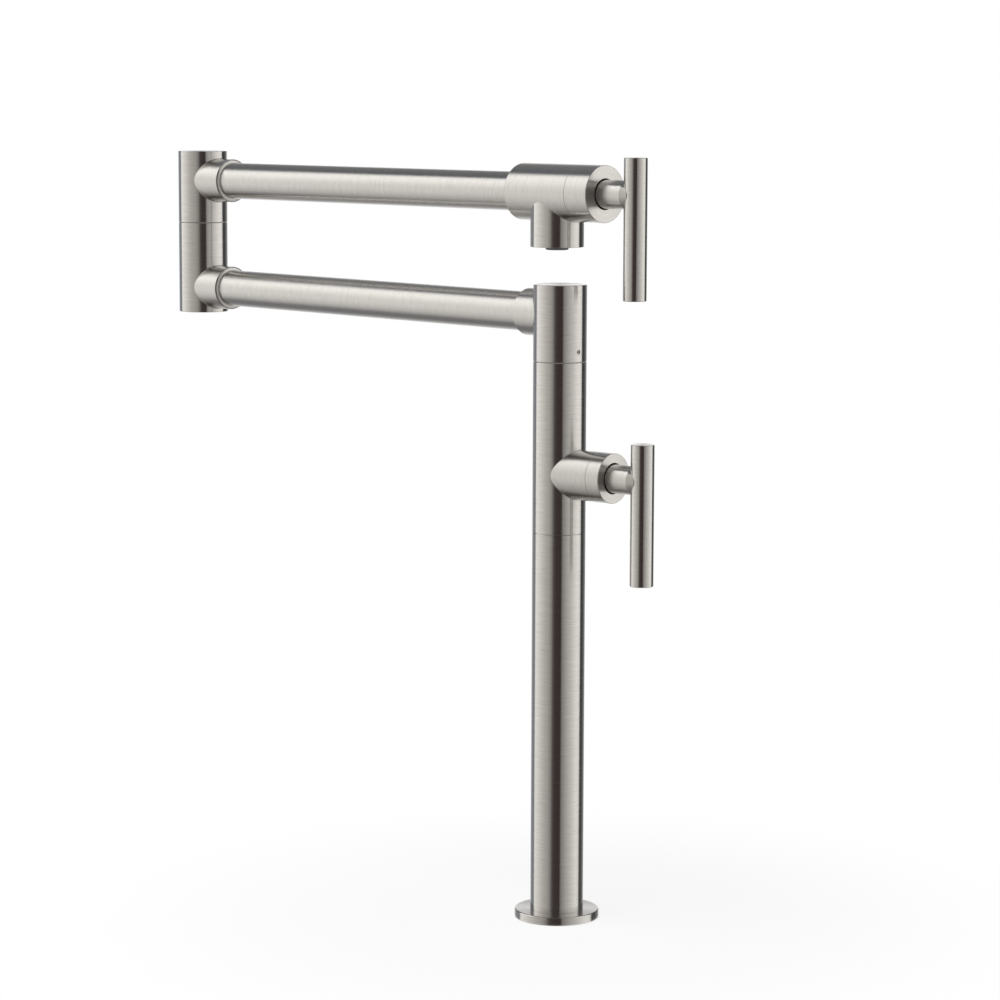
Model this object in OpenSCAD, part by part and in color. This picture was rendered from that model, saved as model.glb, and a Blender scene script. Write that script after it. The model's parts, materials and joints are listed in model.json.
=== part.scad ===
// Deck-mounted pot filler: a column with its own valve, a double-jointed swing arm and a second valve at the spout.
// The origin is the centre of the flange's underside, on the deck. +Z is up and the column valve faces +X.

/* [Base] */
// Diameter of the flange on the deck
flange_d = 51; // [46:0.5:70]
// Thickness of the flange
flange_t = 5.2; // [4:0.1:10]
// Height of the ring on the flange that centres the riser
register_h = 2; // [1:0.1:3]
// Diameter of the rubber gasket under the flange
gasket_d = 44; // [34:0.5:45]
// Thickness of the rubber gasket under the flange
gasket_t = 1.6; // [1:0.1:3]
// Thickness of the deck that the shank passes through
deck_t = 30; // [10:1:45]
// Outside diameter of the threaded mounting shank
shank_d = 20.96; // [18:0.01:22]
// Bore of the mounting shank
shank_bore_d = 12; // [8:0.5:14]
// Length of the shank below the deck face
shank_drop = 64; // [64:1:120]
// Pitch of the shank's thread rings
thread_pitch = 1.8; // [1.5:0.1:3]
// Depth of the shank's thread rings
thread_depth = 0.9; // [0.4:0.05:1]
// Plain end of the shank, where the supply hose is fastened
shank_end = 12; // [8:1:16]
// Diameter of the washers under the deck
washer_d = 40; // [32:0.5:55]
// Thickness of the rubber washer under the deck
rubber_washer_t = 3; // [1:0.5:4]
// Thickness of the steel washer under the deck
steel_washer_t = 1.5; // [1:0.1:2.5]
// Width across the flats of the mounting nut
nut_width = 30; // [27:0.5:36]
// Height of the mounting nut
nut_h = 9; // [6:0.5:10]

/* [Column] */
// Outside diameter of the riser, the valve body and the swivel head
column_d = 32; // [31.5:0.1:36]
// Wall thickness of the riser
riser_wall = 1.5; // [1:0.1:2]
// Length of the riser above the flange
riser_length = 229.9; // [120:0.1:400]
// Length of the valve body between its two seams
valve_body_length = 102.4; // [96:0.1:140]
// Length of the swivel head above its seam
swivel_head_length = 45.6; // [44:0.1:60]
// Length of the plug that closes the riser's lower end
adapter_length = 20; // [16:0.5:40]
// Depth to which the valve body plugs into the riser
plug_depth = 16; // [10:0.5:25]

/* [Column valve] */
// Distance of the valve axis below the swivel seam
valve_drop = 66.8; // [60:0.1:70]
// Outside diameter of the boss and its bonnet
boss_d = 29.7; // [28:0.1:31.5]
// Distance from the column axis to the bonnet seam
boss_reach = 32.7; // [32:0.1:34]
// Length of the column valve's bonnet
valve_bonnet_length = 9.6; // [9:0.1:11]
// Distance from the column valve's bonnet face to its bar axis
valve_bar_gap = 21.7; // [21:0.1:24]

/* [Swing arm] */
// Direction of the lower arm at rest, turned from +X
lower_arm_heading = 174.06; // [0:0.01:360]
// Turn of the upper arm from the lower arm's direction at rest
elbow_turn = 182.16; // [0:0.01:360]
// Distance from the column axis to the elbow axis
lower_arm_length = 348.5; // [200:0.5:500]
// Distance from the elbow axis to the spout axis
upper_arm_length = 332.5; // [200:0.5:332.5]
// Height of each arm above the seam of its swivel
arm_rise = 28.1; // [27:0.1:31]
// Outside diameter of the arm tubes
arm_tube_d = 23.5; // [20:0.1:24]
// Wall thickness of the arm tubes
arm_tube_wall = 1.2; // [0.8:0.1:2]
// Outside diameter of the tube collars
collar_d = 28.2; // [27:0.1:29]
// Reach of the swivel head's collar from the column axis
head_collar_reach = 27.6; // [22:0.1:40]
// Reach of each elbow collar from the elbow axis
elbow_collar_reach = 32; // [22:0.1:45]
// Length of the ring in the mouth of each elbow collar
tube_ring_length = 3.8; // [2:0.1:6]

/* [Elbow] */
// Outside diameter of the elbow
elbow_d = 32.6; // [31:0.1:36]
// Height of the elbow seam above the lower arm axis
elbow_seam_rise = 42.8; // [40:0.1:60]
// Depth of the elbow below the lower arm axis
elbow_foot = 16.9; // [16:0.1:24]
// Height of the elbow above the upper arm axis
elbow_head = 19.2; // [16:0.1:24]

/* [Outlet] */
// Outside diameter of the outlet body and its bonnet
outlet_d = 34; // [33:0.1:36]
// Distance from the back of the outlet body to the spout axis
outlet_back = 28.3; // [26:0.1:34]
// Distance from the spout axis to the outlet's bonnet seam
outlet_front = 21.6; // [20.5:0.1:23]
// Length of the outlet's bonnet
outlet_bonnet_length = 17.9; // [16:0.1:19]
// Distance from the outlet's bonnet face to its bar axis
outlet_bar_gap = 24.3; // [22:0.1:25.5]
// Outside diameter of the spout
spout_d = 32.3; // [29:0.1:32.5]
// Depth of the spout's mouth below the upper arm axis
spout_drop = 32.3; // [30:0.1:50]
// Outside diameter of the aerator insert
aerator_d = 14; // [10:0.1:15]
// Length of the aerator insert below the spout's mouth
aerator_drop = 1.8; // [0.5:0.1:4]

/* [Bar handles] */
// Diameter of each bar
bar_d = 14; // [12:0.1:16]
// Length of each bar
bar_length = 83.5; // [60:0.5:120]
// Length of each bar above its valve axis
bar_rise = 21.8; // [15:0.1:30]
// Diameter of each hub
hub_d = 17; // [16.6:0.1:17.6]
// Length of each hub from its inner end to the bar axis
hub_length = 28; // [25:0.1:30]
// Diameter of the bonnet openings that the hubs turn in
hub_opening_d = 18.3; // [18.2:0.1:20]

/* [Hidden] */
$fn = 96;

// Cuts run past the faces that they open by this much
overrun = 1;
// Radial room between pieces that are screwed or pressed together
joint_fit = 0.05;
// Radial room between pieces that turn in one another
turning_fit = 0.05;
// Room between faces of pieces that move past each other without bearing
free_gap = 0.3;
// Small edge breaks on machined parts
edge_break = 0.4;
// Edge break on each side of a seam
seam_break = 0.2;

// Rounded upper edge of the flange
flange_round = 0.8;
// Thread length by which the shank enters the adapter
shank_grip = 12;
// Round section of the large seals
seal_section = 1.9;
// Extra length of a seal groove over the seal's section
groove_room = 0.4;

riser_r = column_d / 2;
riser_bore_r = riser_r - riser_wall;
riser_top_z = flange_t + riser_length;
swivel_seam_z = riser_top_z + valve_body_length;
valve_z = swivel_seam_z - valve_drop;
lower_arm_z = swivel_seam_z + arm_rise;
elbow_seam_z = lower_arm_z + elbow_seam_rise;
upper_arm_z = elbow_seam_z + arm_rise;
plug_r = riser_bore_r - joint_fit;
shank_r = shank_d / 2;
adapter_z = flange_t + register_h;

// Swivel: a spigot screwed into the lower part turns in the bore of the upper part
// Thickness of the visible gap at each swivel seam
swivel_gap = 0.4;
// Diameter of each spigot where it turns
spigot_d = 21.9;
// Bore of each spigot
spigot_bore_d = 13;
// Length of each spigot's thread
spigot_thread = 20;
// Length of each spigot above its seam
spigot_rise = 15.5;
// Diameter and thickness of the flange that seats each spigot
spigot_flange_d = 25;
spigot_flange_t = 1.5;
// Diameter and height of the screw's groove on each spigot
screw_groove_d = 18.8;
screw_groove_h = 3.6;
// Height of the locking screw above its seam
screw_rise = 6.3;
// Diameter of the locking screws
screw_d = 3;
// Direction of the locking screws, turned from their collar
screw_turn = 180;
// Depth of the locking screws below the outer surface
screw_sink = 0.5;
// Heights of the two seals on each spigot above its seam
seal_rises = [10.3, 13.4];
// Margin of the thrust washer inside the outer surface
washer_margin = 0.5;
// Bore of the thrust washer
washer_bore_d = 22.2;
// Thickness of the closed ends of the swivel head and the elbow
end_wall = 3.6;
// Distance from a swivel axis to the seat of an arm tube
tube_seat = 17;
// Width of the step that an arm tube seats on
tube_step = 1.7;
// Length and depth of the bevel around a collar's mouth
rim_length = 0.6;
rim_depth = 1.1;
// Wall of an elbow collar around its tube ring
ring_wall = 1.3;

spigot_r = spigot_d / 2;
swivel_bore_r = spigot_r + turning_fit;
spigot_socket_r = swivel_bore_r;
tube_r = arm_tube_d / 2;
socket_r = tube_r + joint_fit;

// Cartridge: distances run from the valve seat, outward along the valve axis
// Diameter of the threaded cartridge housing
housing_d = 20.4;
// Diameter of the chamber that holds the discs
disc_bore_d = 17.2;
// Length of the cartridge housing behind its hexagon
housing_thread = 22;
// Height and width across the flats of the hexagon
housing_hex_h = 6;
housing_hex = 19;
// Thickness of the seat seal
seat_seal_t = 1.6;
// Bore of the seat seal
seat_seal_bore_d = 11;
// Thickness of each ceramic disc
disc_t = 3;
// Thickness of the stem's driving plate
drive_t = 3;
// Width of the stem's driving plate
drive_w = 5;
// Radii of the sector openings in the discs
port_inner_r = 2.6;
port_outer_r = 6.8;
// Diameter of the stem
stem_d = 8.4;
// Width of the stem's square end
stem_square = 6;
// Length of the round stem past the housing's face
stem_shoulder = 6;
// Round section of the stem seal
stem_seal_section = 1.7;
// Distance from the discs' chamber to the stem seal
stem_seal_gap = 5;
// Distance from the seat to the bar axis
stem_reach = 70.3;
// Width of the windows in the housing
window_w = 9;
// Radius and height of the stops on the housing's face
stop_r = 8.6;
stop_h = 2.4;
// Width of the stem's stop tab
stop_w = 3;
// Angle that each handle turns between its stops
handle_turn = 90;
// Diameter of the bonnet's bore and of the thread that holds it
bonnet_bore_d = 22.8;
bonnet_thread_d = 25;
bonnet_thread = 4;
// Thickness of the bonnet's face
bonnet_face = 3;
// Depth of the stem's end in the hub
hub_socket = 13.8;
// Distance from the tips of the hub's saddle to the bar axis
saddle_gap = 0.7;
// Length of the taper towards those tips, and their thickness beside the bar
saddle_taper = 5;
saddle_lip = 0.3;
// Diameter of the hub's stud in the bar, and its reach past the bar axis
stud_d = 8;
stud_reach = 3;
// Diameter and place of the screw that holds the hub
hub_screw_d = 4;
hub_screw_gap = 16;
// Angle that each opening in the discs takes up
port_span = 76;
// Waterway openings: the passages, the seats and the chambers below and above the column valve
inlet_passage_d = 7;
inlet_wall = 1;
outlet_passage_d = 9;
seat_bore_d = 11;
seat_bore_depth = 6;
plug_wall = 4;
outlet_socket_depth = 11;
lower_chamber_h = 12;
upper_chamber_d = 16;
upper_chamber_h = 12;
outlet_chamber_d = 16;
seat_wall = 4;
spout_passage_d = 12;

bonnet_bore_r = bonnet_bore_d / 2;
cartridge_bore_r = housing_d / 2 + joint_fit;
hub_sweep = stem_reach - hub_length;
valve_seat_x = boss_reach + valve_bonnet_length + valve_bar_gap - stem_reach;
outlet_bar_x = upper_arm_length + outlet_front + outlet_bonnet_length + outlet_bar_gap;
outlet_seat_x = outlet_bar_x - stem_reach;
fixed_disc_at = seat_seal_t;
moving_disc_at = fixed_disc_at + disc_t + turning_fit;
drive_at = moving_disc_at + disc_t;
chamber_end = drive_at + drive_t + free_gap;
housing_face = housing_thread + housing_hex_h;
stem_seal_at = chamber_end + stem_seal_gap;
stop_free_angle = handle_turn + 2 * asin((stop_w / 2 + free_gap) / (stem_d / 2 + free_gap));
outlet_back_x = upper_arm_length - outlet_back;
outlet_tube_seat_x = outlet_back_x + outlet_socket_depth;

// Room that the outlet's bar keeps from the swivel head with the arms folded
fold_gap = 10;
fold_room = riser_r + bar_d / 2 + fold_gap;
fold_squares = pow(outlet_bar_x, 2) + pow(lower_arm_length, 2) - pow(fold_room, 2);
fold_cos = fold_squares / (2 * outlet_bar_x * lower_arm_length);
fold_angle = fold_cos < 1 ? acos(fold_cos) : 0;
elbow_offset = elbow_turn - 180;
rest_turn = 180 + (elbow_offset < 0 ? min(elbow_offset, -fold_angle) : max(elbow_offset, fold_angle));

// Aerator in the spout's mouth
// Diameter of the threaded bore in the mouth
mouth_bore_d = 22;
// Depth of the aerator shell inside the mouth, and its height
shell_sink = 0.7;
shell_h = 9;
// Thickness of the aerator's screen and seal
screen_t = 1;
aerator_seal_t = 1.8;
// Height of the insert above the mouth, and diameter, spacing and rings of its holes
insert_h = 7;
insert_hole_d = 1.5;
insert_hole_gap = 2.4;
insert_rings = 2;
screen_hole_d = 1.6;
mouth_depth = shell_sink + shell_h + aerator_seal_t;

module placed_along_x() rotate([0, 90, 0]) children();

// A bar with broken edges, standing on z = 0
module rod(d, length, edge) {
    cylinder(d1 = d - 2 * edge, d2 = d, h = edge);
    translate([0, 0, edge]) cylinder(d = d, h = length - 2 * edge);
    translate([0, 0, length - edge]) cylinder(d1 = d, d2 = d - 2 * edge, h = edge);
}

// A round ring standing on z = 0
module ring(outer_d, inner_d, length) {
    difference() {
        cylinder(d = outer_d, h = length);
        translate([0, 0, -overrun]) cylinder(d = inner_d, h = length + 2 * overrun);
    }
}

// A cut for a seal groove around a rod of the given radius, centred on z = 0
module seal_groove(outer_r, section) {
    width = section + groove_room;
    translate([0, 0, -width / 2]) ring(2 * (outer_r + overrun), 2 * (outer_r - section - joint_fit), width);
}

// A round-section seal whose outer radius is given, centred on z = 0
module seal(outer_r, section) {
    rotate_extrude() translate([outer_r - section / 2, 0]) circle(d = section);
}

// Axes of the moving parts
module on_lower_arm() rotate([0, 0, lower_arm_heading]) children();
module on_elbow() on_lower_arm() translate([lower_arm_length, 0, 0]) children();
module on_upper_arm() on_elbow() rotate([0, 0, rest_turn]) children();
module on_valve() translate([0, 0, valve_z]) children();
module on_outlet() on_upper_arm() translate([0, 0, upper_arm_z]) children();

// Base and mounting
module base_flange() {
    color("silver") difference() {
        union() {
            cylinder(d = flange_d, h = flange_t - flange_round);
            translate([0, 0, flange_t - flange_round]) cylinder(d = flange_d - 2 * flange_round, h = flange_round);
            translate([0, 0, flange_t - flange_round]) rotate_extrude() intersection() {
                translate([flange_d / 2 - flange_round, 0]) circle(r = flange_round);
                translate([flange_d / 2 - flange_round, 0]) square(flange_round);
            }
            cylinder(r = plug_r, h = adapter_z);
        }
        translate([0, 0, -overrun]) cylinder(d = gasket_d + 2 * joint_fit, h = overrun + gasket_t);
        translate([0, 0, -overrun]) cylinder(r = shank_r + free_gap, h = adapter_z + 2 * overrun);
    }
}

module base_gasket() {
    color("dimgray") ring(gasket_d, shank_d + 2 * free_gap, gasket_t);
}

module mounting_shank() {
    groove_top = -deck_t + thread_pitch;
    groove_end = -shank_drop + shank_end;
    grooves = floor((groove_top - groove_end) / thread_pitch);
    color("goldenrod") difference() {
        translate([0, 0, -shank_drop]) rod(shank_d, shank_drop + adapter_z + shank_grip, edge_break);
        translate([0, 0, -shank_drop - overrun])
            cylinder(d = shank_bore_d, h = shank_drop + adapter_z + shank_grip + 2 * overrun);
        rotate_extrude() for (i = [0 : grooves - 1]) {
            z = groove_top - i * thread_pitch;
            polygon([
                [shank_r - thread_depth, z - thread_pitch / 2],
                [shank_r + thread_depth, z],
                [shank_r + thread_depth, z - thread_pitch]
            ]);
        }
    }
}

module rubber_washer() {
    color("dimgray") translate([0, 0, -deck_t - rubber_washer_t])
        ring(washer_d, shank_d + 2 * free_gap, rubber_washer_t);
}

module steel_washer() {
    color("silver") translate([0, 0, -deck_t - rubber_washer_t - steel_washer_t])
        ring(washer_d, shank_d + 2 * free_gap, steel_washer_t);
}

module mounting_nut() {
    color("goldenrod") translate([0, 0, -deck_t - rubber_washer_t - steel_washer_t - nut_h]) difference() {
        cylinder(d = nut_width / cos(30), h = nut_h, $fn = 6);
        translate([0, 0, -overrun]) cylinder(r = shank_r + joint_fit, h = nut_h + 2 * overrun);
    }
}

module base_adapter() {
    color("goldenrod") translate([0, 0, adapter_z]) difference() {
        cylinder(r = plug_r, h = adapter_length);
        translate([0, 0, -overrun]) cylinder(r = shank_r + joint_fit, h = overrun + shank_grip);
        translate([0, 0, -overrun]) cylinder(d = shank_bore_d, h = adapter_length + 2 * overrun);
        translate([0, 0, shank_grip + seal_section]) seal_groove(plug_r, seal_section);
    }
}

module adapter_seal() {
    color("black") translate([0, 0, adapter_z + shank_grip + seal_section]) seal(plug_r, seal_section);
}

module riser_tube() {
    color("silver") translate([0, 0, flange_t]) difference() {
        cylinder(r = riser_r, h = riser_length - seam_break);
        translate([0, 0, -overrun]) cylinder(r = riser_bore_r, h = riser_length + overrun);
    }
    color("silver") translate([0, 0, riser_top_z - seam_break]) difference() {
        cylinder(r1 = riser_r, r2 = riser_r - seam_break, h = seam_break);
        translate([0, 0, -overrun]) cylinder(r = riser_bore_r, h = seam_break + 2 * overrun);
    }
}

// Column valve body: the riser's water reaches the seat from below and leaves upward through the spigot
module valve_body() {
    height = valve_body_length - swivel_gap / 2;
    bore_length = boss_reach - valve_seat_x;
    passage_top = swivel_seam_z - spigot_thread - upper_chamber_h;
    window_x = valve_seat_x + drive_at + drive_t / 2;
    color("silver") difference() {
        union() {
            translate([0, 0, riser_top_z]) rod(column_d, height, seam_break);
            translate([0, 0, riser_top_z - plug_depth]) cylinder(r = plug_r, h = plug_depth + seam_break);
            on_valve() placed_along_x() cylinder(d = boss_d, h = boss_reach - seam_break);
            on_valve() translate([boss_reach - seam_break, 0, 0]) placed_along_x()
                cylinder(d1 = boss_d, d2 = boss_d - 2 * seam_break, h = seam_break);
        }
        // lower chamber, passage and seat
        translate([0, 0, riser_top_z - plug_depth - overrun])
            cylinder(r = plug_r - plug_wall, h = plug_depth + lower_chamber_h + overrun);
        translate([valve_seat_x - inlet_wall - inlet_passage_d / 2, 0, riser_top_z])
            cylinder(d = inlet_passage_d, h = valve_z - riser_top_z);
        on_valve() translate([valve_seat_x - seat_bore_depth, 0, 0]) placed_along_x()
            cylinder(d = seat_bore_d, h = seat_bore_depth + overrun);
        // cartridge bore and bonnet thread
        on_valve() translate([valve_seat_x, 0, 0]) placed_along_x()
            cylinder(r = cartridge_bore_r, h = bore_length + overrun);
        on_valve() translate([valve_seat_x + housing_thread, 0, 0]) placed_along_x()
            cylinder(r = bonnet_thread_d / 2 + joint_fit, h = bore_length - housing_thread + overrun);
        // outlet passage, upper chamber and spigot thread
        translate([window_x, 0, valve_z]) cylinder(d = outlet_passage_d, h = passage_top - valve_z + overrun);
        translate([0, 0, passage_top]) cylinder(d = upper_chamber_d, h = upper_chamber_h + overrun);
        translate([0, 0, swivel_seam_z]) spigot_socket();
        translate([0, 0, riser_top_z - plug_depth / 2]) seal_groove(plug_r, seal_section);
    }
}

module valve_body_seal() {
    color("black") translate([0, 0, riser_top_z - plug_depth / 2]) seal(plug_r, seal_section);
}

// The hole that a spigot is screwed into, below a seam at z = 0
module spigot_socket() {
    translate([0, 0, -spigot_thread]) cylinder(r = spigot_socket_r, h = spigot_thread + overrun);
    translate([0, 0, -swivel_gap / 2 - spigot_flange_t])
        cylinder(d = spigot_flange_d + 2 * joint_fit, h = spigot_flange_t + overrun);
}

// A swivel spigot about a seam at z = 0
module spigot() {
    difference() {
        union() {
            translate([0, 0, -spigot_thread]) cylinder(r = spigot_r, h = spigot_thread + spigot_rise);
            translate([0, 0, -swivel_gap / 2 - spigot_flange_t])
                cylinder(d = spigot_flange_d, h = spigot_flange_t);
        }
        translate([0, 0, -spigot_thread - overrun])
            cylinder(d = spigot_bore_d, h = spigot_thread + spigot_rise + 2 * overrun);
        translate([0, 0, screw_rise - screw_groove_h / 2])
            ring(spigot_d + 2 * overrun, screw_groove_d, screw_groove_h);
        for (rise = seal_rises) translate([0, 0, rise]) seal_groove(spigot_r, seal_section);
    }
}

// The thrust washer that lies in a seam at z = 0
module thrust_washer(outer_d) {
    translate([0, 0, -swivel_gap / 2])
        ring(outer_d - 2 * washer_margin, washer_bore_d, swivel_gap - turning_fit);
}

// A locking screw whose dog point runs in the spigot's groove, above a seam at z = 0
module locking_screw(outer_d) {
    tip_r = screw_groove_d / 2 + free_gap;
    length = outer_d / 2 - screw_sink - tip_r;
    rotate([0, 0, screw_turn]) translate([tip_r, 0, screw_rise]) placed_along_x() difference() {
        cylinder(d = screw_d, h = length);
        translate([0, 0, length - screw_d / 2]) cylinder(d = screw_d / 2, h = screw_d, $fn = 6);
    }
}

// The upper part of a swivel above a seam at z = 0, with a collar for an arm tube along +X
module swivel_cap(outer_d, length, reach, edge) {
    difference() {
        union() {
            translate([0, 0, swivel_gap / 2]) rod(outer_d, length - swivel_gap / 2, edge);
            translate([0, 0, arm_rise]) collar(reach);
        }
        translate([0, 0, -overrun]) cylinder(r = swivel_bore_r, h = length - end_wall + overrun);
        translate([0, 0, arm_rise]) tube_socket(reach);
        rotate([0, 0, screw_turn]) translate([0, 0, screw_rise]) placed_along_x()
            cylinder(r = screw_d / 2 + joint_fit, h = outer_d / 2 + overrun);
    }
}

// A collar along +X and the socket in it
module collar(reach) {
    placed_along_x() cylinder(d = collar_d, h = reach - rim_length);
    translate([reach - rim_length, 0, 0]) placed_along_x()
        cylinder(d1 = collar_d, d2 = collar_d - 2 * rim_depth, h = rim_length);
}

module tube_socket(reach) {
    placed_along_x() cylinder(r = socket_r - tube_step, h = tube_seat + overrun);
    translate([tube_seat, 0, 0]) placed_along_x() cylinder(r = socket_r, h = reach - tube_seat + overrun);
}

// The ring in the mouth of an elbow collar, and its pocket, along +X from the elbow axis
module tube_ring() {
    translate([elbow_collar_reach - tube_ring_length, 0, 0]) placed_along_x()
        ring(collar_d - 2 * ring_wall, 2 * socket_r, tube_ring_length);
}

module ring_pocket() {
    translate([elbow_collar_reach - tube_ring_length, 0, 0]) placed_along_x()
        cylinder(d = collar_d - 2 * ring_wall, h = tube_ring_length + overrun);
}

module swivel_spigot() {
    color("goldenrod") translate([0, 0, swivel_seam_z]) spigot();
}

module swivel_seals() {
    color("black") for (rise = seal_rises)
        translate([0, 0, swivel_seam_z + rise]) seal(spigot_r, seal_section);
}

module swivel_washer() {
    color("dimgray") translate([0, 0, swivel_seam_z]) thrust_washer(column_d);
}

// Cartridge parts: the valve axis is +Z and the seat is z = 0
module sector(inner_r, outer_r, span, length) {
    reach = 2 * outer_r;
    linear_extrude(length) intersection() {
        difference() {
            circle(r = outer_r);
            circle(r = inner_r);
        }
        polygon([
            [0, 0],
            [reach * cos(span / 2), -reach * sin(span / 2)],
            [reach, 0],
            [reach * cos(span / 2), reach * sin(span / 2)]
        ]);
    }
}

module ported_disc(d, turn) {
    difference() {
        cylinder(d = d, h = disc_t);
        for (side = [0, 180]) rotate([0, 0, turn + side]) translate([0, 0, -overrun])
            sector(port_inner_r, port_outer_r, port_span, disc_t + 2 * overrun);
    }
}

module cartridge_housing() {
    difference() {
        union() {
            translate([0, 0, free_gap]) cylinder(d = housing_d, h = housing_thread - free_gap);
            translate([0, 0, housing_thread]) cylinder(d = housing_hex / cos(30), h = housing_hex_h, $fn = 6);
            translate([0, 0, housing_face]) difference() {
                ring(2 * stop_r, stem_d + 2 * free_gap, stop_h);
                rotate([0, 0, 180 + handle_turn / 2]) translate([0, 0, -overrun])
                    sector(0, stop_r + overrun, stop_free_angle, stop_h + 2 * overrun);
            }
        }
        translate([0, 0, -overrun]) cylinder(d = disc_bore_d, h = chamber_end + overrun);
        translate([0, 0, -overrun]) cylinder(r = stem_d / 2 + turning_fit, h = housing_face + 2 * overrun);
        for (side = [0, 180]) rotate([0, 0, side]) translate([0, -window_w / 2, drive_at])
            cube([housing_d, window_w, drive_t]);
    }
}

module seat_seal() ring(disc_bore_d - 2 * free_gap, seat_seal_bore_d, seat_seal_t);

module cartridge_stem() {
    shaft = housing_face + stem_shoulder - drive_at;
    square_end = stem_reach - hub_length + hub_socket;
    difference() {
        union() {
            translate([0, 0, drive_at]) intersection() {
                cylinder(d = disc_bore_d - 2 * free_gap, h = drive_t);
                translate([-disc_bore_d, -drive_w / 2, 0]) cube([2 * disc_bore_d, drive_w, drive_t]);
            }
            translate([0, 0, drive_at]) cylinder(d = stem_d, h = shaft);
            translate([-stem_square / 2, -stem_square / 2, drive_at + shaft])
                cube([stem_square, stem_square, square_end - drive_at - shaft]);
            translate([-stop_r, -stop_w / 2, housing_face + free_gap])
                cube([stop_r, stop_w, stop_h - free_gap]);
        }
        translate([0, 0, stem_seal_at]) seal_groove(stem_d / 2, stem_seal_section);
    }
}

module bonnet(outer_d, length) {
    difference() {
        union() {
            rod(outer_d, length, seam_break);
            translate([0, 0, -bonnet_thread]) cylinder(d = bonnet_thread_d, h = bonnet_thread + seam_break);
        }
        translate([0, 0, -bonnet_thread - overrun])
            cylinder(r = bonnet_bore_r, h = bonnet_thread + length - bonnet_face + overrun);
        cylinder(d = hub_opening_d, h = length + overrun);
    }
}

// The hub with its saddle for the bar; the bar axis crosses z = stem_reach
module hub() {
    shoulder = hub_length - bar_d / 2;
    taper_z = hub_length - saddle_gap - saddle_taper;
    screw_at = hub_sweep + hub_length - hub_screw_gap;
    difference() {
        union() {
            translate([0, 0, hub_sweep]) difference() {
                union() {
                    rod(hub_d, taper_z + edge_break, edge_break);
                    translate([0, 0, taper_z])
                        cylinder(d1 = hub_d, d2 = bar_d + 2 * saddle_lip, h = saddle_taper);
                }
                translate([0, 0, hub_length]) placed_along_x() translate([0, 0, -hub_length])
                    cylinder(d = bar_d + 2 * joint_fit, h = 2 * hub_length);
            }
            translate([0, 0, hub_sweep + shoulder - edge_break])
                cylinder(d = stud_d, h = hub_length - shoulder + edge_break + stud_reach);
        }
        translate([-stem_square / 2 - joint_fit, -stem_square / 2 - joint_fit, hub_sweep - overrun])
            cube([stem_square + 2 * joint_fit, stem_square + 2 * joint_fit, hub_socket + overrun + free_gap]);
        translate([0, 0, screw_at]) placed_along_x() cylinder(r = hub_screw_d / 2 + joint_fit, h = hub_d);
    }
}

module hub_screw() {
    length = hub_d / 2 - screw_sink - stem_square / 2;
    translate([stem_square / 2, 0, hub_sweep + hub_length - hub_screw_gap]) placed_along_x() difference() {
        cylinder(d = hub_screw_d, h = length);
        translate([0, 0, length - hub_screw_d / 2]) cylinder(d = hub_screw_d / 2, h = hub_screw_d, $fn = 6);
    }
}

// The bar lies along the local X axis, whose + end hangs down
module bar() {
    difference() {
        translate([-bar_rise, 0, stem_reach]) placed_along_x() rod(bar_d, bar_length, edge_break);
        translate([0, 0, stem_reach - bar_d])
            cylinder(d = stud_d + 2 * joint_fit, h = bar_d + stud_reach + joint_fit);
    }
}

// Column valve
module in_valve() on_valve() translate([valve_seat_x, 0, 0]) placed_along_x() children();

module valve_housing() {
    color("goldenrod") in_valve() cartridge_housing();
}

module valve_seat_seal() {
    color("black") in_valve() seat_seal();
}

module valve_fixed_disc() {
    color("white") in_valve() translate([0, 0, fixed_disc_at]) ported_disc(disc_bore_d - 2 * joint_fit, 0);
}

module valve_moving_disc() {
    color("whitesmoke") in_valve() translate([0, 0, moving_disc_at]) ported_disc(disc_bore_d - 2 * free_gap, 90);
}

module valve_stem() {
    color("goldenrod") in_valve() cartridge_stem();
}

module valve_stem_seal() {
    color("black") in_valve() translate([0, 0, stem_seal_at]) seal(stem_d / 2, stem_seal_section);
}

module valve_bonnet() {
    color("silver") on_valve() translate([boss_reach, 0, 0]) placed_along_x() bonnet(boss_d, valve_bonnet_length);
}

module valve_hub() {
    color("silver") in_valve() hub();
}

module valve_bar() {
    color("silver") in_valve() bar();
}

module valve_hub_screw() {
    color("dimgray") in_valve() hub_screw();
}

// Lower arm
module swivel_head() {
    color("silver") on_lower_arm() translate([0, 0, swivel_seam_z])
        swivel_cap(column_d, swivel_head_length, head_collar_reach, seam_break);
}

module swivel_screw() {
    color("dimgray") on_lower_arm() translate([0, 0, swivel_seam_z]) locking_screw(column_d);
}

module lower_arm_tube() {
    color("silver") on_lower_arm() translate([tube_seat, 0, lower_arm_z]) placed_along_x()
        ring(arm_tube_d, arm_tube_d - 2 * arm_tube_wall, lower_arm_length - 2 * tube_seat);
}

module lower_elbow() {
    foot_z = lower_arm_z - elbow_foot;
    height = elbow_seam_z - swivel_gap / 2 - foot_z;
    color("silver") on_elbow() difference() {
        union() {
            translate([0, 0, foot_z]) rod(elbow_d, height, seam_break);
            translate([0, 0, lower_arm_z]) rotate([0, 0, 180]) collar(elbow_collar_reach);
        }
        translate([0, 0, foot_z + end_wall]) cylinder(r = spigot_socket_r, h = height);
        translate([0, 0, lower_arm_z]) rotate([0, 0, 180]) tube_socket(elbow_collar_reach);
        translate([0, 0, lower_arm_z]) rotate([0, 0, 180]) ring_pocket();
        translate([0, 0, elbow_seam_z]) spigot_socket();
    }
}

module lower_tube_ring() {
    color("silver") on_elbow() translate([0, 0, lower_arm_z]) rotate([0, 0, 180]) tube_ring();
}

module elbow_spigot() {
    color("goldenrod") on_elbow() translate([0, 0, elbow_seam_z]) spigot();
}

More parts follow.
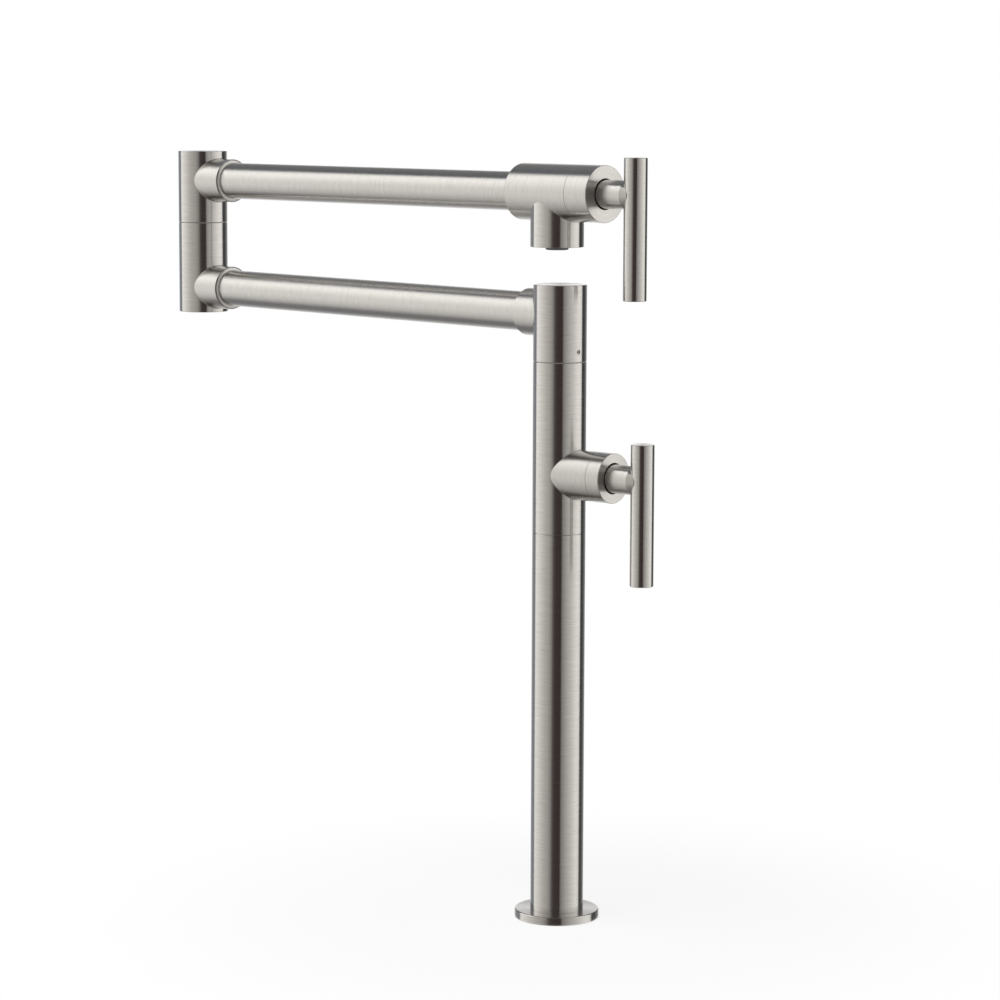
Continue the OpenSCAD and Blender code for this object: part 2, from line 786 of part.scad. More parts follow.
module elbow_seals() {
    color("black") on_elbow() for (rise = seal_rises)
        translate([0, 0, elbow_seam_z + rise]) seal(spigot_r, seal_section);
}

module elbow_washer() {
    color("dimgray") on_elbow() translate([0, 0, elbow_seam_z]) thrust_washer(elbow_d);
}

// Upper arm
module upper_elbow() {
    color("silver") on_upper_arm() translate([0, 0, elbow_seam_z]) difference() {
        swivel_cap(elbow_d, arm_rise + elbow_head, elbow_collar_reach, seam_break);
        translate([0, 0, arm_rise]) ring_pocket();
    }
}

module elbow_screw() {
    color("dimgray") on_upper_arm() translate([0, 0, elbow_seam_z]) locking_screw(elbow_d);
}

module upper_arm_tube() {
    color("silver") on_outlet() translate([tube_seat, 0, 0]) placed_along_x()
        ring(arm_tube_d, arm_tube_d - 2 * arm_tube_wall, outlet_tube_seat_x - tube_seat);
}

module upper_tube_ring() {
    color("silver") on_outlet() tube_ring();
}

module outlet_body() {
    body_length = outlet_back + outlet_front;
    mouth_z = -spout_drop;
    color("silver") on_outlet() difference() {
        union() {
            translate([outlet_back_x, 0, 0]) placed_along_x() rod(outlet_d, body_length, seam_break);
            translate([upper_arm_length, 0, mouth_z]) cylinder(d1 = spout_d - 2 * seam_break, d2 = spout_d, h = seam_break);
            translate([upper_arm_length, 0, mouth_z + seam_break]) cylinder(d = spout_d, h = spout_drop - seam_break);
        }
        translate([outlet_back_x - overrun, 0, 0]) placed_along_x()
            cylinder(r = socket_r, h = outlet_tube_seat_x - outlet_back_x + overrun);
        translate([outlet_back_x, 0, 0]) placed_along_x()
            cylinder(d = outlet_chamber_d, h = outlet_seat_x - seat_wall - outlet_back_x);
        translate([outlet_back_x, 0, 0]) placed_along_x()
            cylinder(d = seat_bore_d, h = outlet_seat_x - outlet_back_x + overrun);
        translate([outlet_seat_x, 0, 0]) placed_along_x() cylinder(r = cartridge_bore_r, h = body_length);
        translate([outlet_seat_x + housing_thread, 0, 0]) placed_along_x()
            cylinder(r = bonnet_thread_d / 2 + joint_fit, h = body_length);
        translate([upper_arm_length, 0, mouth_z]) cylinder(d = spout_passage_d, h = spout_drop);
        translate([upper_arm_length, 0, mouth_z - overrun]) cylinder(d = mouth_bore_d, h = mouth_depth + overrun);
    }
}

module outlet_bonnet() {
    color("silver") on_outlet() translate([upper_arm_length + outlet_front, 0, 0]) placed_along_x()
        bonnet(outlet_d, outlet_bonnet_length);
}

module in_outlet() on_outlet() translate([outlet_seat_x, 0, 0]) placed_along_x() children();

module outlet_housing() {
    color("goldenrod") in_outlet() cartridge_housing();
}

module outlet_seat_seal() {
    color("black") in_outlet() seat_seal();
}

module outlet_fixed_disc() {
    color("white") in_outlet() translate([0, 0, fixed_disc_at]) ported_disc(disc_bore_d - 2 * joint_fit, 0);
}

module outlet_moving_disc() {
    color("whitesmoke") in_outlet() translate([0, 0, moving_disc_at]) ported_disc(disc_bore_d - 2 * free_gap, 90);
}

module outlet_stem() {
    color("goldenrod") in_outlet() cartridge_stem();
}

module outlet_stem_seal() {
    color("black") in_outlet() translate([0, 0, stem_seal_at]) seal(stem_d / 2, stem_seal_section);
}

module outlet_hub() {
    color("silver") in_outlet() hub();
}

module outlet_bar() {
    color("silver") in_outlet() bar();
}

module outlet_hub_screw() {
    color("dimgray") in_outlet() hub_screw();
}

// Aerator: z = 0 is the spout's mouth
module in_mouth() on_outlet() translate([upper_arm_length, 0, -spout_drop]) children();

module hole_pattern(d, gap, rings, length) {
    cylinder(d = d, h = length);
    for (i = [1 : rings]) for (k = [0 : 6 * i - 1])
        rotate([0, 0, k * 360 / (6 * i)]) translate([i * gap, 0, 0]) cylinder(d = d, h = length);
}

module aerator_shell() {
    color("silver") in_mouth() translate([0, 0, shell_sink])
        ring(mouth_bore_d - 2 * joint_fit, aerator_d + 2 * joint_fit, shell_h);
}

module aerator_insert() {
    length = aerator_drop + insert_h;
    color("dimgray") in_mouth() translate([0, 0, -aerator_drop]) difference() {
        rod(aerator_d, length, edge_break);
        translate([0, 0, -overrun])
            hole_pattern(insert_hole_d, insert_hole_gap, insert_rings, length + 2 * overrun);
    }
}

module aerator_screen() {
    color("silver") in_mouth() translate([0, 0, insert_h]) difference() {
        cylinder(d = aerator_d, h = screen_t);
        translate([0, 0, -overrun])
            hole_pattern(screen_hole_d, insert_hole_gap, insert_rings, screen_t + 2 * overrun);
    }
}

module aerator_seal() {
    color("black") in_mouth() translate([0, 0, shell_sink + shell_h])
        ring(mouth_bore_d - 2 * joint_fit, aerator_d, aerator_seal_t);
}

base_flange();
base_gasket();
mounting_shank();
rubber_washer();
steel_washer();
mounting_nut();
base_adapter();
adapter_seal();
riser_tube();
valve_body();
valve_body_seal();
valve_bonnet();
valve_housing();
valve_fixed_disc();
valve_seat_seal();
swivel_spigot();
swivel_seals();
swivel_washer();
valve_stem();
valve_moving_disc();
valve_stem_seal();
valve_hub();
valve_bar();
valve_hub_screw();
swivel_head();
swivel_screw();
lower_arm_tube();
lower_elbow();
lower_tube_ring();
elbow_spigot();
elbow_seals();
elbow_washer();
upper_elbow();
elbow_screw();
upper_arm_tube();
upper_tube_ring();
outlet_body();
outlet_bonnet();
outlet_housing();
outlet_fixed_disc();
outlet_seat_seal();
aerator_shell();
aerator_insert();
aerator_screen();
aerator_seal();
outlet_stem();
outlet_moving_disc();
outlet_stem_seal();
outlet_hub();
outlet_bar();
outlet_hub_screw();
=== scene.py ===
import json
import math

import bmesh
import bpy
import numpy as np
from mathutils import Matrix, Vector


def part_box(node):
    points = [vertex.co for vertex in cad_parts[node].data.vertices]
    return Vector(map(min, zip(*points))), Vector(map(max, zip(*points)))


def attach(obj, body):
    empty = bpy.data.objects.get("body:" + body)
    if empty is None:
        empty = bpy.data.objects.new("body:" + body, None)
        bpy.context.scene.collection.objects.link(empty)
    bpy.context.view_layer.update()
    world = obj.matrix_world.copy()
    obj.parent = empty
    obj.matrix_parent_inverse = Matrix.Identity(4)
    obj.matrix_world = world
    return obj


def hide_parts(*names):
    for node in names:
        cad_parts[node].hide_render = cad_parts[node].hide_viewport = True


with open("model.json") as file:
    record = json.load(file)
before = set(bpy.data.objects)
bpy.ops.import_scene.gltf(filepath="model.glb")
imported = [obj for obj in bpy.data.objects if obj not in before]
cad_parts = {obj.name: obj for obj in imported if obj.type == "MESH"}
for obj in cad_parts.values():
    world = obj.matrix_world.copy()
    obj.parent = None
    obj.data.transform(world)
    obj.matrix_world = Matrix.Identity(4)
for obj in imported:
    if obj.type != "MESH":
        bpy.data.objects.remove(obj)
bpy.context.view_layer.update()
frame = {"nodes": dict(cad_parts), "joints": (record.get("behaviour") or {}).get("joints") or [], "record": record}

scene = bpy.context.scene
scene.view_settings.view_transform = "Standard"
nodes = frame["nodes"]
joints = {j["name"]: j for j in frame["joints"]}
mm = 0.001
fullTurn = 2 * math.pi
print("frame loaded:", len(nodes), "nodes")

# where things are, read from the frame

def corners(node):
    mesh = nodes[node].data
    co = np.empty(len(mesh.vertices) * 3)
    mesh.vertices.foreach_get("co", co)
    return co.reshape(-1, 3)

def span(node, axis, origin=(0, 0, 0)):  # lowest and highest point along an axis
    d = (corners(node) - np.array(origin)) @ np.array(axis)
    return float(d.min()), float(d.max())

def radii(node, axis, origin, beyond):  # distances from an axis, of the corners past a point on it
    rel = corners(node) - np.array(origin)
    along = rel @ np.array(axis)
    far = np.linalg.norm(rel - np.outer(along, axis), axis=1)
    return far if beyond is None else far[along > beyond]

def girth(node, axis, origin, beyond=None):
    return float(radii(node, axis, origin, beyond).max())

def throat(node, axis, origin, beyond):
    return float(radii(node, axis, origin, beyond).min())

def middle(node):  # height of a node's middle
    return sum(span(node, up)) / 2

up = (0, 0, 1)
down = (0, 0, -1)
front = (1, 0, 0)
columnAxis = (0.0, 0.0, 0.0)
elbowAt = joints["elbow_swivel"]["pos_m"]
elbowAxis = (elbowAt[0], elbowAt[1], 0.0)
lowerHeading = math.atan2(elbowAt[1], elbowAt[0])
outletAxis = joints["outlet_handle_turn"]["axis"]
upperHeading = math.atan2(outletAxis[1], outletAxis[0])
lowerWay = (math.cos(lowerHeading), math.sin(lowerHeading), 0.0)
upperWay = (math.cos(upperHeading), math.sin(upperHeading), 0.0)
backWay = tuple(-c for c in lowerWay)
valveZ = joints["valve_handle_turn"]["pos_m"][2]
lowerZ = middle("lower_arm_tube")
upperZ = joints["outlet_handle_turn"]["pos_m"][2]
lowerLine = (0, 0, lowerZ)
upperLine = (elbowAt[0], elbowAt[1], upperZ)
valveLine = (0, 0, valveZ)

def placeAt(origin, axis, side):  # local z lies along axis, local x along side
    z = Vector(axis).normalized()
    x = Vector(side).normalized()
    m = Matrix((x, z.cross(x), z)).transposed().to_4x4()
    m.translation = Vector(origin)
    return m

# pieces, and turned metal: profiles, swept round an axis, with exact normals

def linked(name, data):
    obj = bpy.data.objects.new(name, data)
    scene.collection.objects.link(obj)
    return obj

def piece(name, mesh, material, body, node):
    obj = linked(name, mesh)
    mesh.materials.clear()
    mesh.materials.append(material)
    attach(obj, body)
    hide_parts(node)

# points are merged to 0.001 mm, angles rounded to digits; roundStep in degrees
finest = {"merge": 1e6, "sameHeight": 1e-6, "sameAngle": 0.004, "roundStep": 15, "digits": 9, "slack": 1e-9,
          "slackAngle": 1e-8, "widest": 0.999}

class Shaper:
    def __init__(self, place):
        self.rot = np.array(place.to_3x3())
        self.move = np.array(place.translation)
        self.points, self.index = [], {}
        self.faces, self.normals, self.ways, self.ats = [], [], [], []

    def key(self, p):
        k = tuple(round(c * finest["merge"]) for c in p)
        if k not in self.index:
            self.index[k] = len(self.points)
            self.points.append(p)
        return self.index[k]

    def patch(self, rows, closed=True):  # a row: points, normals, brush directions and marks
        spots, facing, ways, marks = (np.array(x) for x in zip(*rows))
        spots = spots @ self.rot.T + self.move
        facing = facing @ self.rot.T
        ways = ways @ self.rot.T
        high, cols = spots.shape[:2]
        ids = [[self.key(spots[i, j]) for j in range(cols)] for i in range(high)]
        for i in range(high - 1):
            for j in range(cols if closed else cols - 1):
                k = (j + 1) % cols
                seen, keep = set(), []
                for a, b in ((i, j), (i, k), (i + 1, k), (i + 1, j)):
                    if ids[a][b] not in seen:
                        seen.add(ids[a][b])
                        keep.append((a, b))
                if len(keep) < 3:
                    continue
                p = [spots[c] for c in keep]
                flat = np.cross(p[1] - p[0], p[2] - p[0])
                if len(keep) == 4:
                    flat = flat + np.cross(p[2] - p[0], p[3] - p[0])
                if flat @ sum(facing[c] for c in keep) < 0:
                    keep.reverse()
                self.faces.append([ids[a][b] for a, b in keep])
                for c in keep:
                    self.normals.append(facing[c])
                    self.ways.append(ways[c])
                    self.ats.append(marks[c])

    def mesh(self, name):
        return markedMesh(name, self.points, self.faces, self.normals, self.ways, self.ats)

def volumeOf(name, mesh):  # negative when a mesh is inside out; open edges are told
    shape = bmesh.new()
    shape.from_mesh(mesh)
    count = sum(1 for e in shape.edges if len(e.link_faces) != 2)
    if count:
        print("  open edges on", name, count)
    volume = shape.calc_volume(signed=True)
    shape.free()
    return volume

def markedMesh(name, points, faces, normals, ways, ats):
    mesh = bpy.data.meshes.new(name)
    mesh.from_pydata([tuple(p) for p in points], [], faces)
    mesh.polygons.foreach_set("use_smooth", [True] * len(mesh.polygons))
    for label, values in (("way", ways), ("at", ats)):
        mesh.attributes.new(label, "FLOAT_VECTOR", "CORNER").data.foreach_set(
            "vector", np.array(values, np.float32).ravel())
    mesh.normals_split_custom_set([tuple(n) for n in normals])
    mesh.update()
    if volumeOf(name, mesh) < 0:
        print("  inside out:", name)
    return mesh

def profileStrips(points, closed=False):
    # points: (radius, height, rounding); strips break at sharp corners
    n = len(points)
    pts = [np.array(p[:2], float) for p in points]
    rounds = [p[2] if len(p) > 2 else 0 for p in points]
    heads = []
    for i in range(n if closed else n - 1):
        d = pts[(i + 1) % n] - pts[i]
        heads.append(d / np.linalg.norm(d))

    def row(p, t, s):
        return (p[0], p[1], t[1], -t[0], t[0], t[1], s)

    strips, current, s = [], [], 0.0
    last = None
    for step, i in enumerate(list(range(n)) + ([0] if closed else [])):
        p = pts[i]
        before = heads[i - 1] if (closed or i > 0) else None
        after = heads[i] if (closed or i < n - 1) else None
        if after is None:
            s += float(np.linalg.norm(p - last))
            strips.append(current + [row(p, before, s)])
            current = []
            continue
        bend = 0 if before is None else math.acos(max(-1, min(1, float(before @ after))))
        reach = rounds[i] * math.tan(bend / 2)
        b = p + after * reach
        if before is None or (closed and step == 0):
            current, last = [row(b, after, s)], b
            continue
        a = p - before * reach
        s += float(np.linalg.norm(a - last))
        current.append(row(a, before, s))
        if rounds[i] > 0:
            side = 1 if before[0] * after[1] - before[1] * after[0] > 0 else -1
            centre = a + side * rounds[i] * np.array([-before[1], before[0]])
            steps = max(2, math.ceil(math.degrees(bend) / finest["roundStep"]))
            for k in range(1, steps + 1):
                ang = side * bend * k / steps
                c, w = math.cos(ang), math.sin(ang)
                t = np.array([before[0] * c - before[1] * w, before[0] * w + before[1] * c])
                s += rounds[i] * bend / steps
                current.append(row(centre + side * rounds[i] * np.array([t[1], -t[0]]), t, s))
        else:
            strips.append(current)
            current = [row(p, after, s)]
        last = b
    if closed and len(current) > 1:
        strips.append(current)
    return [x for x in strips if len(x) > 1]

def sweep(strip, c, w, order):
    # a strip's rows, turned to each cosine and sine; order says where these and the height go in a point
    one = np.ones_like(c)

    def ring(r, z):
        parts = (r * c, r * w, z * one)
        return np.stack([parts[k] for k in order], 1)

    return [(ring(r, z), ring(nr, nz), ring(tr, tz), np.stack([s * one, c, w], 1))
            for r, z, nr, nz, tr, tz, s in strip]

def turn(shape, strips, angles):
    for strip in strips:
        shape.patch(sweep(strip, np.cos(angles), np.sin(angles), (0, 1, 2)))

def evenAngles(count):
    return np.arange(count) * fullTurn / count

def turnedMesh(name, place, points, closed, count):
    shape = Shaper(place)
    turn(shape, profileStrips(points, closed), evenAngles(count))
    return shape.mesh(name)

def turnedPiece(name, node, body, place, points, closed=True, count=128):
    piece(name, turnedMesh(name, place, points, closed, count), nickel, body, node)

belt = 1 * mm  # the plain strip between a rim and a side with ports
panel = {"count": 128, "narrow": 0.3, "rowsHalf": 16, "columnsHalf": 8, "blendSteps": 8, "blendMark": 0.05,
         "steps": (0, 0.04, 0.12, 0.25, 0.45, 0.7, 1.0)}

def branchedPiece(name, node, body, place, below, above, ports):
    # a turned body: below ends at its lower rim, above starts at its upper rim, and ports open the side between
    # port: at (angle), z, r, blend (fillet radius, 0 for a drilled hole), margin and
    # points (distance from the axis, radius, rounding)
    shape = Shaper(place)
    radius, low, high = below[-1][0], below[-1][1] + belt, above[0][1] - belt
    rects = []
    for port in ports:
        edge = port["r"] + port["blend"]
        touch = edge * radius / (radius + port["blend"])
        halfT = math.asin(min(finest["widest"], touch / radius)) + port["margin"] / radius
        rects.append((port["at"], halfT, port["z"], edge + port["margin"]))

    def tidied(t):
        return round(float(t) % fullTurn, finest["digits"])

    rims = [tidied(t) for at, halfT, z, halfZ in rects for t in (at - halfT, at + halfT)]
    angles = set(np.round(evenAngles(panel["count"]), finest["digits"])) | set(rims)
    heights = {low, high}
    for at, halfT, z, halfZ in rects:
        n, m = panel["rowsHalf"], panel["columnsHalf"]
        heights |= set(z + halfZ * k / n for k in range(-n, n + 1))
        if halfT < panel["narrow"]:
            angles |= set(tidied(at + halfT * k / m) for k in range(1 - m, m))
    angles = np.array(sorted(angles))
    keep = [0]
    for i in range(1, len(angles)):  # drop samples that crowd a panel's edge
        if angles[i] - angles[keep[-1]] > finest["sameAngle"]:
            keep.append(i)
        elif tidied(angles[i]) in rims:
            keep[-1] = i
    angles = angles[keep]
    heights = np.array(sorted(h for h in heights if low - finest["slack"] <= h <= high + finest["slack"]))
    heights = heights[np.concatenate([[True], np.diff(heights) > finest["sameHeight"]])]

    def side(t, z):
        t, z = np.asarray(t), np.asarray(z)
        c, w, o = np.cos(t), np.sin(t), np.zeros_like(t)
        return zip(np.stack([radius * c, radius * w, z], -1), np.stack([c, w, o], -1),
                   np.stack([o, o, o + 1], -1), np.stack([z, c, w], -1))

    def opened(t, z):
        return any(abs((t - at + math.pi) % fullTurn - math.pi) < halfT and abs(z - zc) < halfZ
                   for at, halfT, zc, halfZ in rects)

    wrap = np.append(angles, angles[0] + fullTurn)
    for i in range(len(heights) - 1):
        for j in range(len(angles)):
            t, z = wrap[j:j + 2], heights[i:i + 2]
            if not opened(t.sum() / 2, z.sum() / 2):
                shape.patch(side([t, t], [[z[0]] * 2, [z[1]] * 2]), closed=False)
    for port, (at, halfT, zc, halfZ) in zip(ports, rects):
        rel = (wrap[:-1] - at + math.pi) % fullTurn - math.pi
        ts = np.array(sorted(float(r) for r in rel if abs(r) <= halfT + finest["slackAngle"]))
        zs = np.array([h for h in heights if abs(h - zc) <= halfZ + finest["slack"]])
        rim = [(t, zs[0]) for t in ts] + [(ts[-1], z) for z in zs[1:]]
        rim += [(t, zs[-1]) for t in ts[::-1][1:]] + [(ts[0], z) for z in zs[::-1][1:-1]]
        rim = np.array(rim)
        around = np.arctan2((rim[:, 1] - zc) / halfZ, rim[:, 0] / halfT)
        c, w = np.cos(around), np.sin(around)
        r, f = port["r"], port["blend"]
        y, z = (r + f) * c, (r + f) * w
        x = np.sqrt((radius + f) ** 2 - y ** 2)
        steps = np.array(panel["steps"])[:, None]
        t = at + np.arctan2(y, x)[None, :] * (1 - steps) + rim[:, 0][None, :] * steps
        h = (zc + z)[None, :] * (1 - steps) + rim[:, 1][None, :] * steps
        shape.patch(side(t, h))
        ca, sa = math.cos(at), math.sin(at)
        turnPort = np.array([[ca, -sa, 0], [sa, ca, 0], [0, 0, 1]])

        def send(rows):
            shape.patch([(p @ turnPort.T + np.array([0, 0, zc]), n @ turnPort.T, way @ turnPort.T, mark)
                         for p, n, way, mark in rows])

        first = np.stack([x, y, z], 1)
        if f > 0:
            centre = first
            onMain = np.stack([x * radius / (radius + f), y * radius / (radius + f), z], 1)
            first = np.stack([x, y * r / (r + f), z * r / (r + f)], 1)
            a, b = (centre - onMain) / f, (centre - first) / f
            gap = np.arccos(np.clip((a * b).sum(1), -1, 1))[:, None]
            rows = []
            for k in range(panel["blendSteps"] + 1):
                u = k / panel["blendSteps"]
                n = (np.sin((1 - u) * gap) * a + np.sin(u * gap) * b) / np.sin(gap)
                across = np.cross(n, np.cross(a, b))
                across /= -np.linalg.norm(across, axis=1)[:, None]
                mark = u * f * gap[:, 0] + panel["blendMark"]
                rows.append((centre - f * n, n, across, np.stack([mark, c, w], 1)))
            send(rows)
        for number, strip in enumerate(profileStrips([(q[1], q[0]) + tuple(q[2:]) for q in port["points"]])):
            rows = sweep(strip, c, w, (2, 0, 1))
            if number == 0:
                rows[0] = (first,) + rows[0][1:]
            send(rows)
    turn(shape, profileStrips(below + [(radius, low)]) + profileStrips([(radius, high)] + above), angles)
    piece(name, shape.mesh(name), nickel, body, node)

# node trees

class Graph:
    def __init__(self, tree):
        self.tree = tree

    def node(self, kind, inputs=None, **settings):
        n = self.tree.nodes.new(kind if kind.startswith(("Geometry", "NodeGroup")) else "ShaderNode" + kind)
        for k, v in settings.items():
            setattr(n, k, v)
        for k, v in (inputs or {}).items():
            self.put(n.inputs[k], v)
        return n

    def put(self, socket, value):
        if isinstance(value, bpy.types.NodeSocket):
            self.tree.links.new(value, socket)
        else:
            socket.default_value = value

    def out(self, kind, inputs=None, **settings):
        return self.node(kind, inputs, **settings).outputs[0]

    def math(self, how, *values, **settings):
        return self.out("Math", dict(enumerate(values)), operation=how, **settings)

    def vector(self, how, *values):
        return self.out("VectorMath", dict(enumerate(values)), operation=how)

    def fit(self, value, low, high, toLow=0.0, toHigh=1.0, **settings):
        return self.out("MapRange", {"Value": value, "From Min": low, "From Max": high, "To Min": toLow,
                                     "To Max": toHigh}, **settings)

    def tint(self, share, first, second):  # between two colours
        return self.node("Mix", {0: share, 6: first, 7: second}, data_type="RGBA").outputs[2]

    def ramp(self, place, stops):  # stops: (place, colour)
        n = self.node("ValToRGB", {0: place})
        e = n.color_ramp.elements
        for i, (at, colour) in enumerate(stops):
            item = e[0] if i == 0 else e[len(e) - 1] if i == len(stops) - 1 else e.new(at)
            item.position = at
            item.color = tuple(colour) + (1,)
        return n.outputs[0]

class Finish(Graph):
    def __init__(self, name):
        self.material = bpy.data.materials.new(name)
        self.material.use_nodes = True
        super().__init__(self.material.node_tree)
        self.shader = self.tree.nodes["Principled BSDF"]

    def feed(self, name, value):
        self.put(self.shader.inputs[name], value)

    def surface(self, out):
        self.put(self.tree.nodes["Material Output"].inputs["Surface"], out)

# materials

brush = {"colour": (0.78, 0.762, 0.735, 1), "deepColour": (0.655, 0.636, 0.61, 1), "shades": (0.32, 0.68),
         "spread": 0.9, "scratchesPerMm": 1.7, "scratchLength": 1.6, "scratchDepth": 0.012 * mm, "bump": 0.25,
         "scratchRough": (0.25, 0.75, 0.17, 0.24), "cloudsPerMm": 0.35, "cloudLength": 2.0,
         "cloudRough": (0.3, 0.7, -0.015, 0.015)}  # rough: from, to, and the roughness that they stand for

def brushedNickel(name):
    t = Finish(name)
    at = t.node("Attribute", attribute_name="at").outputs["Vector"]  # marks: along the profile, then round the part

    def streaks(perMm, length, **noise):
        mapped = t.vector("MULTIPLY", at, (perMm / mm, length, length))
        return t.node("TexNoise", {"Vector": mapped, "Scale": 1.0, **noise}).outputs["Fac"]

    fine = streaks(brush["scratchesPerMm"], brush["scratchLength"], Detail=5.0, Roughness=0.75)
    clouds = streaks(brush["cloudsPerMm"], brush["cloudLength"], Detail=2.0)
    t.feed("Base Color", t.tint(t.fit(fine, *brush["shades"]), brush["deepColour"], brush["colour"]))
    t.feed("Metallic", 1.0)
    t.feed("Roughness", t.math("ADD", t.fit(fine, *brush["scratchRough"]), t.fit(clouds, *brush["cloudRough"])))
    t.feed("Anisotropic", brush["spread"])
    way = t.node("Attribute", attribute_name="way").outputs["Vector"]
    t.feed("Tangent", t.out("VectorTransform", {0: way}, vector_type="VECTOR", convert_from="OBJECT",
                            convert_to="WORLD"))
    t.feed("Normal", t.out("Bump", {"Strength": brush["bump"], "Distance": brush["scratchDepth"], "Height": fine}))
    return t.material

metalGrain = {"metallic": 1.0, "grain": 900.0, "detail": 3.0, "shade": 0.88, "smoother": 0.06, "rougher": 0.08,
              "bump": 0.2, "bumpDepth": 0.02 * mm}
solidGrain = {"metallic": 0.0, "grain": 700.0, "detail": 4.0, "shade": 0.82, "smoother": 0.08, "rougher": 0.08,
              "bump": 0.3, "bumpDepth": 0.03 * mm}

def grainyFinish(name, colour, roughness, look):
    t = Finish(name)
    coords = t.node("TexCoord").outputs["Object"]
    noise = t.node("TexNoise", {"Vector": coords, "Scale": look["grain"], "Detail": look["detail"]}).outputs["Fac"]
    t.feed("Base Color", t.tint(noise, tuple(c * look["shade"] for c in colour) + (1,), colour + (1,)))
    t.feed("Metallic", look["metallic"])
    t.feed("Roughness", t.fit(noise, 0.0, 1.0, roughness - look["smoother"], roughness + look["rougher"]))
    t.feed("Normal", t.out("Bump", {"Strength": look["bump"], "Distance": look["bumpDepth"], "Height": noise}))
    return t.material

nickel = brushedNickel("brushedNickel")
brass = grainyFinish("machinedBrass", (0.80, 0.60, 0.31), 0.28, metalGrain)
steel = grainyFinish("plainSteel", (0.58, 0.57, 0.56), 0.32, metalGrain)
nickelPlain = grainyFinish("satinNickel", (0.72, 0.685, 0.645), 0.25, dict(metalGrain, grain=1500.0))
rubber = grainyFinish("blackRubber", (0.028, 0.028, 0.03), 0.7, solidGrain)
disc = grainyFinish("whiteCeramic", (0.86, 0.85, 0.82), 0.2, solidGrain)
whitePlastic = grainyFinish("whitePlastic", (0.78, 0.78, 0.76), 0.42, solidGrain)
# a dark grey non-metal colour, used on the aerator's insert alone
greyPlastic = grainyFinish("greyPlastic", (0.20, 0.20, 0.205), 0.45, solidGrain)
finishes = {"brass": brass, "rubber": rubber, "ceramic": disc, "matte_plastic": whitePlastic}
for record in frame["record"]["materials"]:
    node = record["slot"]
    kind = finishes.get(record["class"], nickelPlain)
    if record.get("finish", "").startswith("stainless"):
        kind = steel
    # the aerator's insert is coloured dark grey, in place of the finish its record class gives
    if node == "aerator_insert":
        kind = greyPlastic
    mesh = nodes[node].data
    if not mesh.materials:
        mesh.materials.append(kind)
    for i in range(len(mesh.materials)):
        mesh.materials[i] = kind
print("materials made")

# column

base = {"topRound": 0.8 * mm, "footRound": 0.25 * mm, "registerRound": 0.2 * mm, "holeFit": 0.3 * mm, "sides": 160}
seam = {"edge": 0.22 * mm, "riserEdge": 0.34 * mm, "riserFoot": 0.12 * mm, "blend": 0.4 * mm, "margin": 0.8 * mm}
riserWall = 1.5 * mm
slip = 0.05 * mm  # between pieces that fit into each other
columnPlace = placeAt(columnAxis, up, front)
flangeR = girth("base_flange", up, columnAxis)
registerTop = span("base_flange", up)[1]
riserLow, riserTop = span("riser_tube", up)
riserR = girth("riser_tube", up, columnAxis)
bore = riserR - riserWall
plugR = bore - slip
gasketR = girth("base_gasket", up, columnAxis) + slip
gasketTop = span("base_gasket", up)[1]
holeR = girth("mounting_shank", up, columnAxis) + base["holeFit"]
turnedPiece("baseFlange", "base_flange", "column", columnPlace, [
    (holeR, registerTop, base["registerRound"]), (holeR, gasketTop), (gasketR, gasketTop), (gasketR, 0),
    (flangeR, 0, base["footRound"]), (flangeR, riserLow, base["topRound"]), (plugR, riserLow),
    (plugR, registerTop, base["registerRound"])], count=base["sides"])
turnedPiece("riser", "riser_tube", "column", columnPlace, [
    (bore, riserLow), (riserR, riserLow, seam["riserFoot"]), (riserR, riserTop, seam["riserEdge"]),
    (bore, riserTop)])

cartridge = {"bore": 10.25 * mm, "thread": 12.55 * mm, "threadFrom": 22 * mm}
spigot = {"socket": 11 * mm, "flange": 12.55 * mm, "flangeDeep": 1.5 * mm, "deep": 20.2 * mm}
plug = {"foot": 0.3 * mm, "groove": 1.95 * mm, "grooveHalf": 1.15 * mm}

def cartridgeBore(mouth, seat):  # (radius, distance), from the mouth down to the seat
    shoulder = seat + cartridge["threadFrom"]
    return [(cartridge["thread"], mouth), (cartridge["thread"], shoulder), (cartridge["bore"], shoulder),
            (cartridge["bore"], seat), (0, seat)]

def spigotSocket(radius, top):  # over the rim and down the socket that holds a swivel's spigot
    ledge, floor = top - spigot["flangeDeep"], top - spigot["deep"]
    return [(radius, top, seam["edge"]), (spigot["flange"], top), (spigot["flange"], ledge),
            (spigot["socket"], ledge), (spigot["socket"], floor), (0, floor)]

plugLow, valveTop = span("valve_body", up)
grooveLow, grooveHigh = (middle("valve_body_seal") + side * plug["grooveHalf"] for side in (-1, 1))
grooveR = plugR - plug["groove"]
bossR = girth("valve_bonnet", front, valveLine)
bossEnd = span("valve_body", front, valveLine)[1]
valveSeat = span("valve_seat_seal", front, valveLine)[0]
branchedPiece("valveBody", "valve_body", "column", columnPlace,
    [(0, plugLow), (plugR, plugLow, plug["foot"]), (plugR, grooveLow), (grooveR, grooveLow), (grooveR, grooveHigh),
     (plugR, grooveHigh), (plugR, riserTop), (riserR, riserTop, seam["riserEdge"])],
    spigotSocket(riserR, valveTop),
    [{"at": 0, "z": valveZ, "r": bossR, "blend": seam["blend"], "margin": seam["margin"], "points": [
        (0, bossR), (bossEnd, bossR, seam["edge"])] + [(x, r) for r, x in cartridgeBore(bossEnd, valveSeat)]}])
print("column made")

bonnet = {"boreR": 11.4 * mm, "threadR": 12.5 * mm, "threadRound": 0.2 * mm, "thread": 4 * mm, "face": 3 * mm,
          "rimRound": 0.35 * mm, "mouthRound": 0.3 * mm}

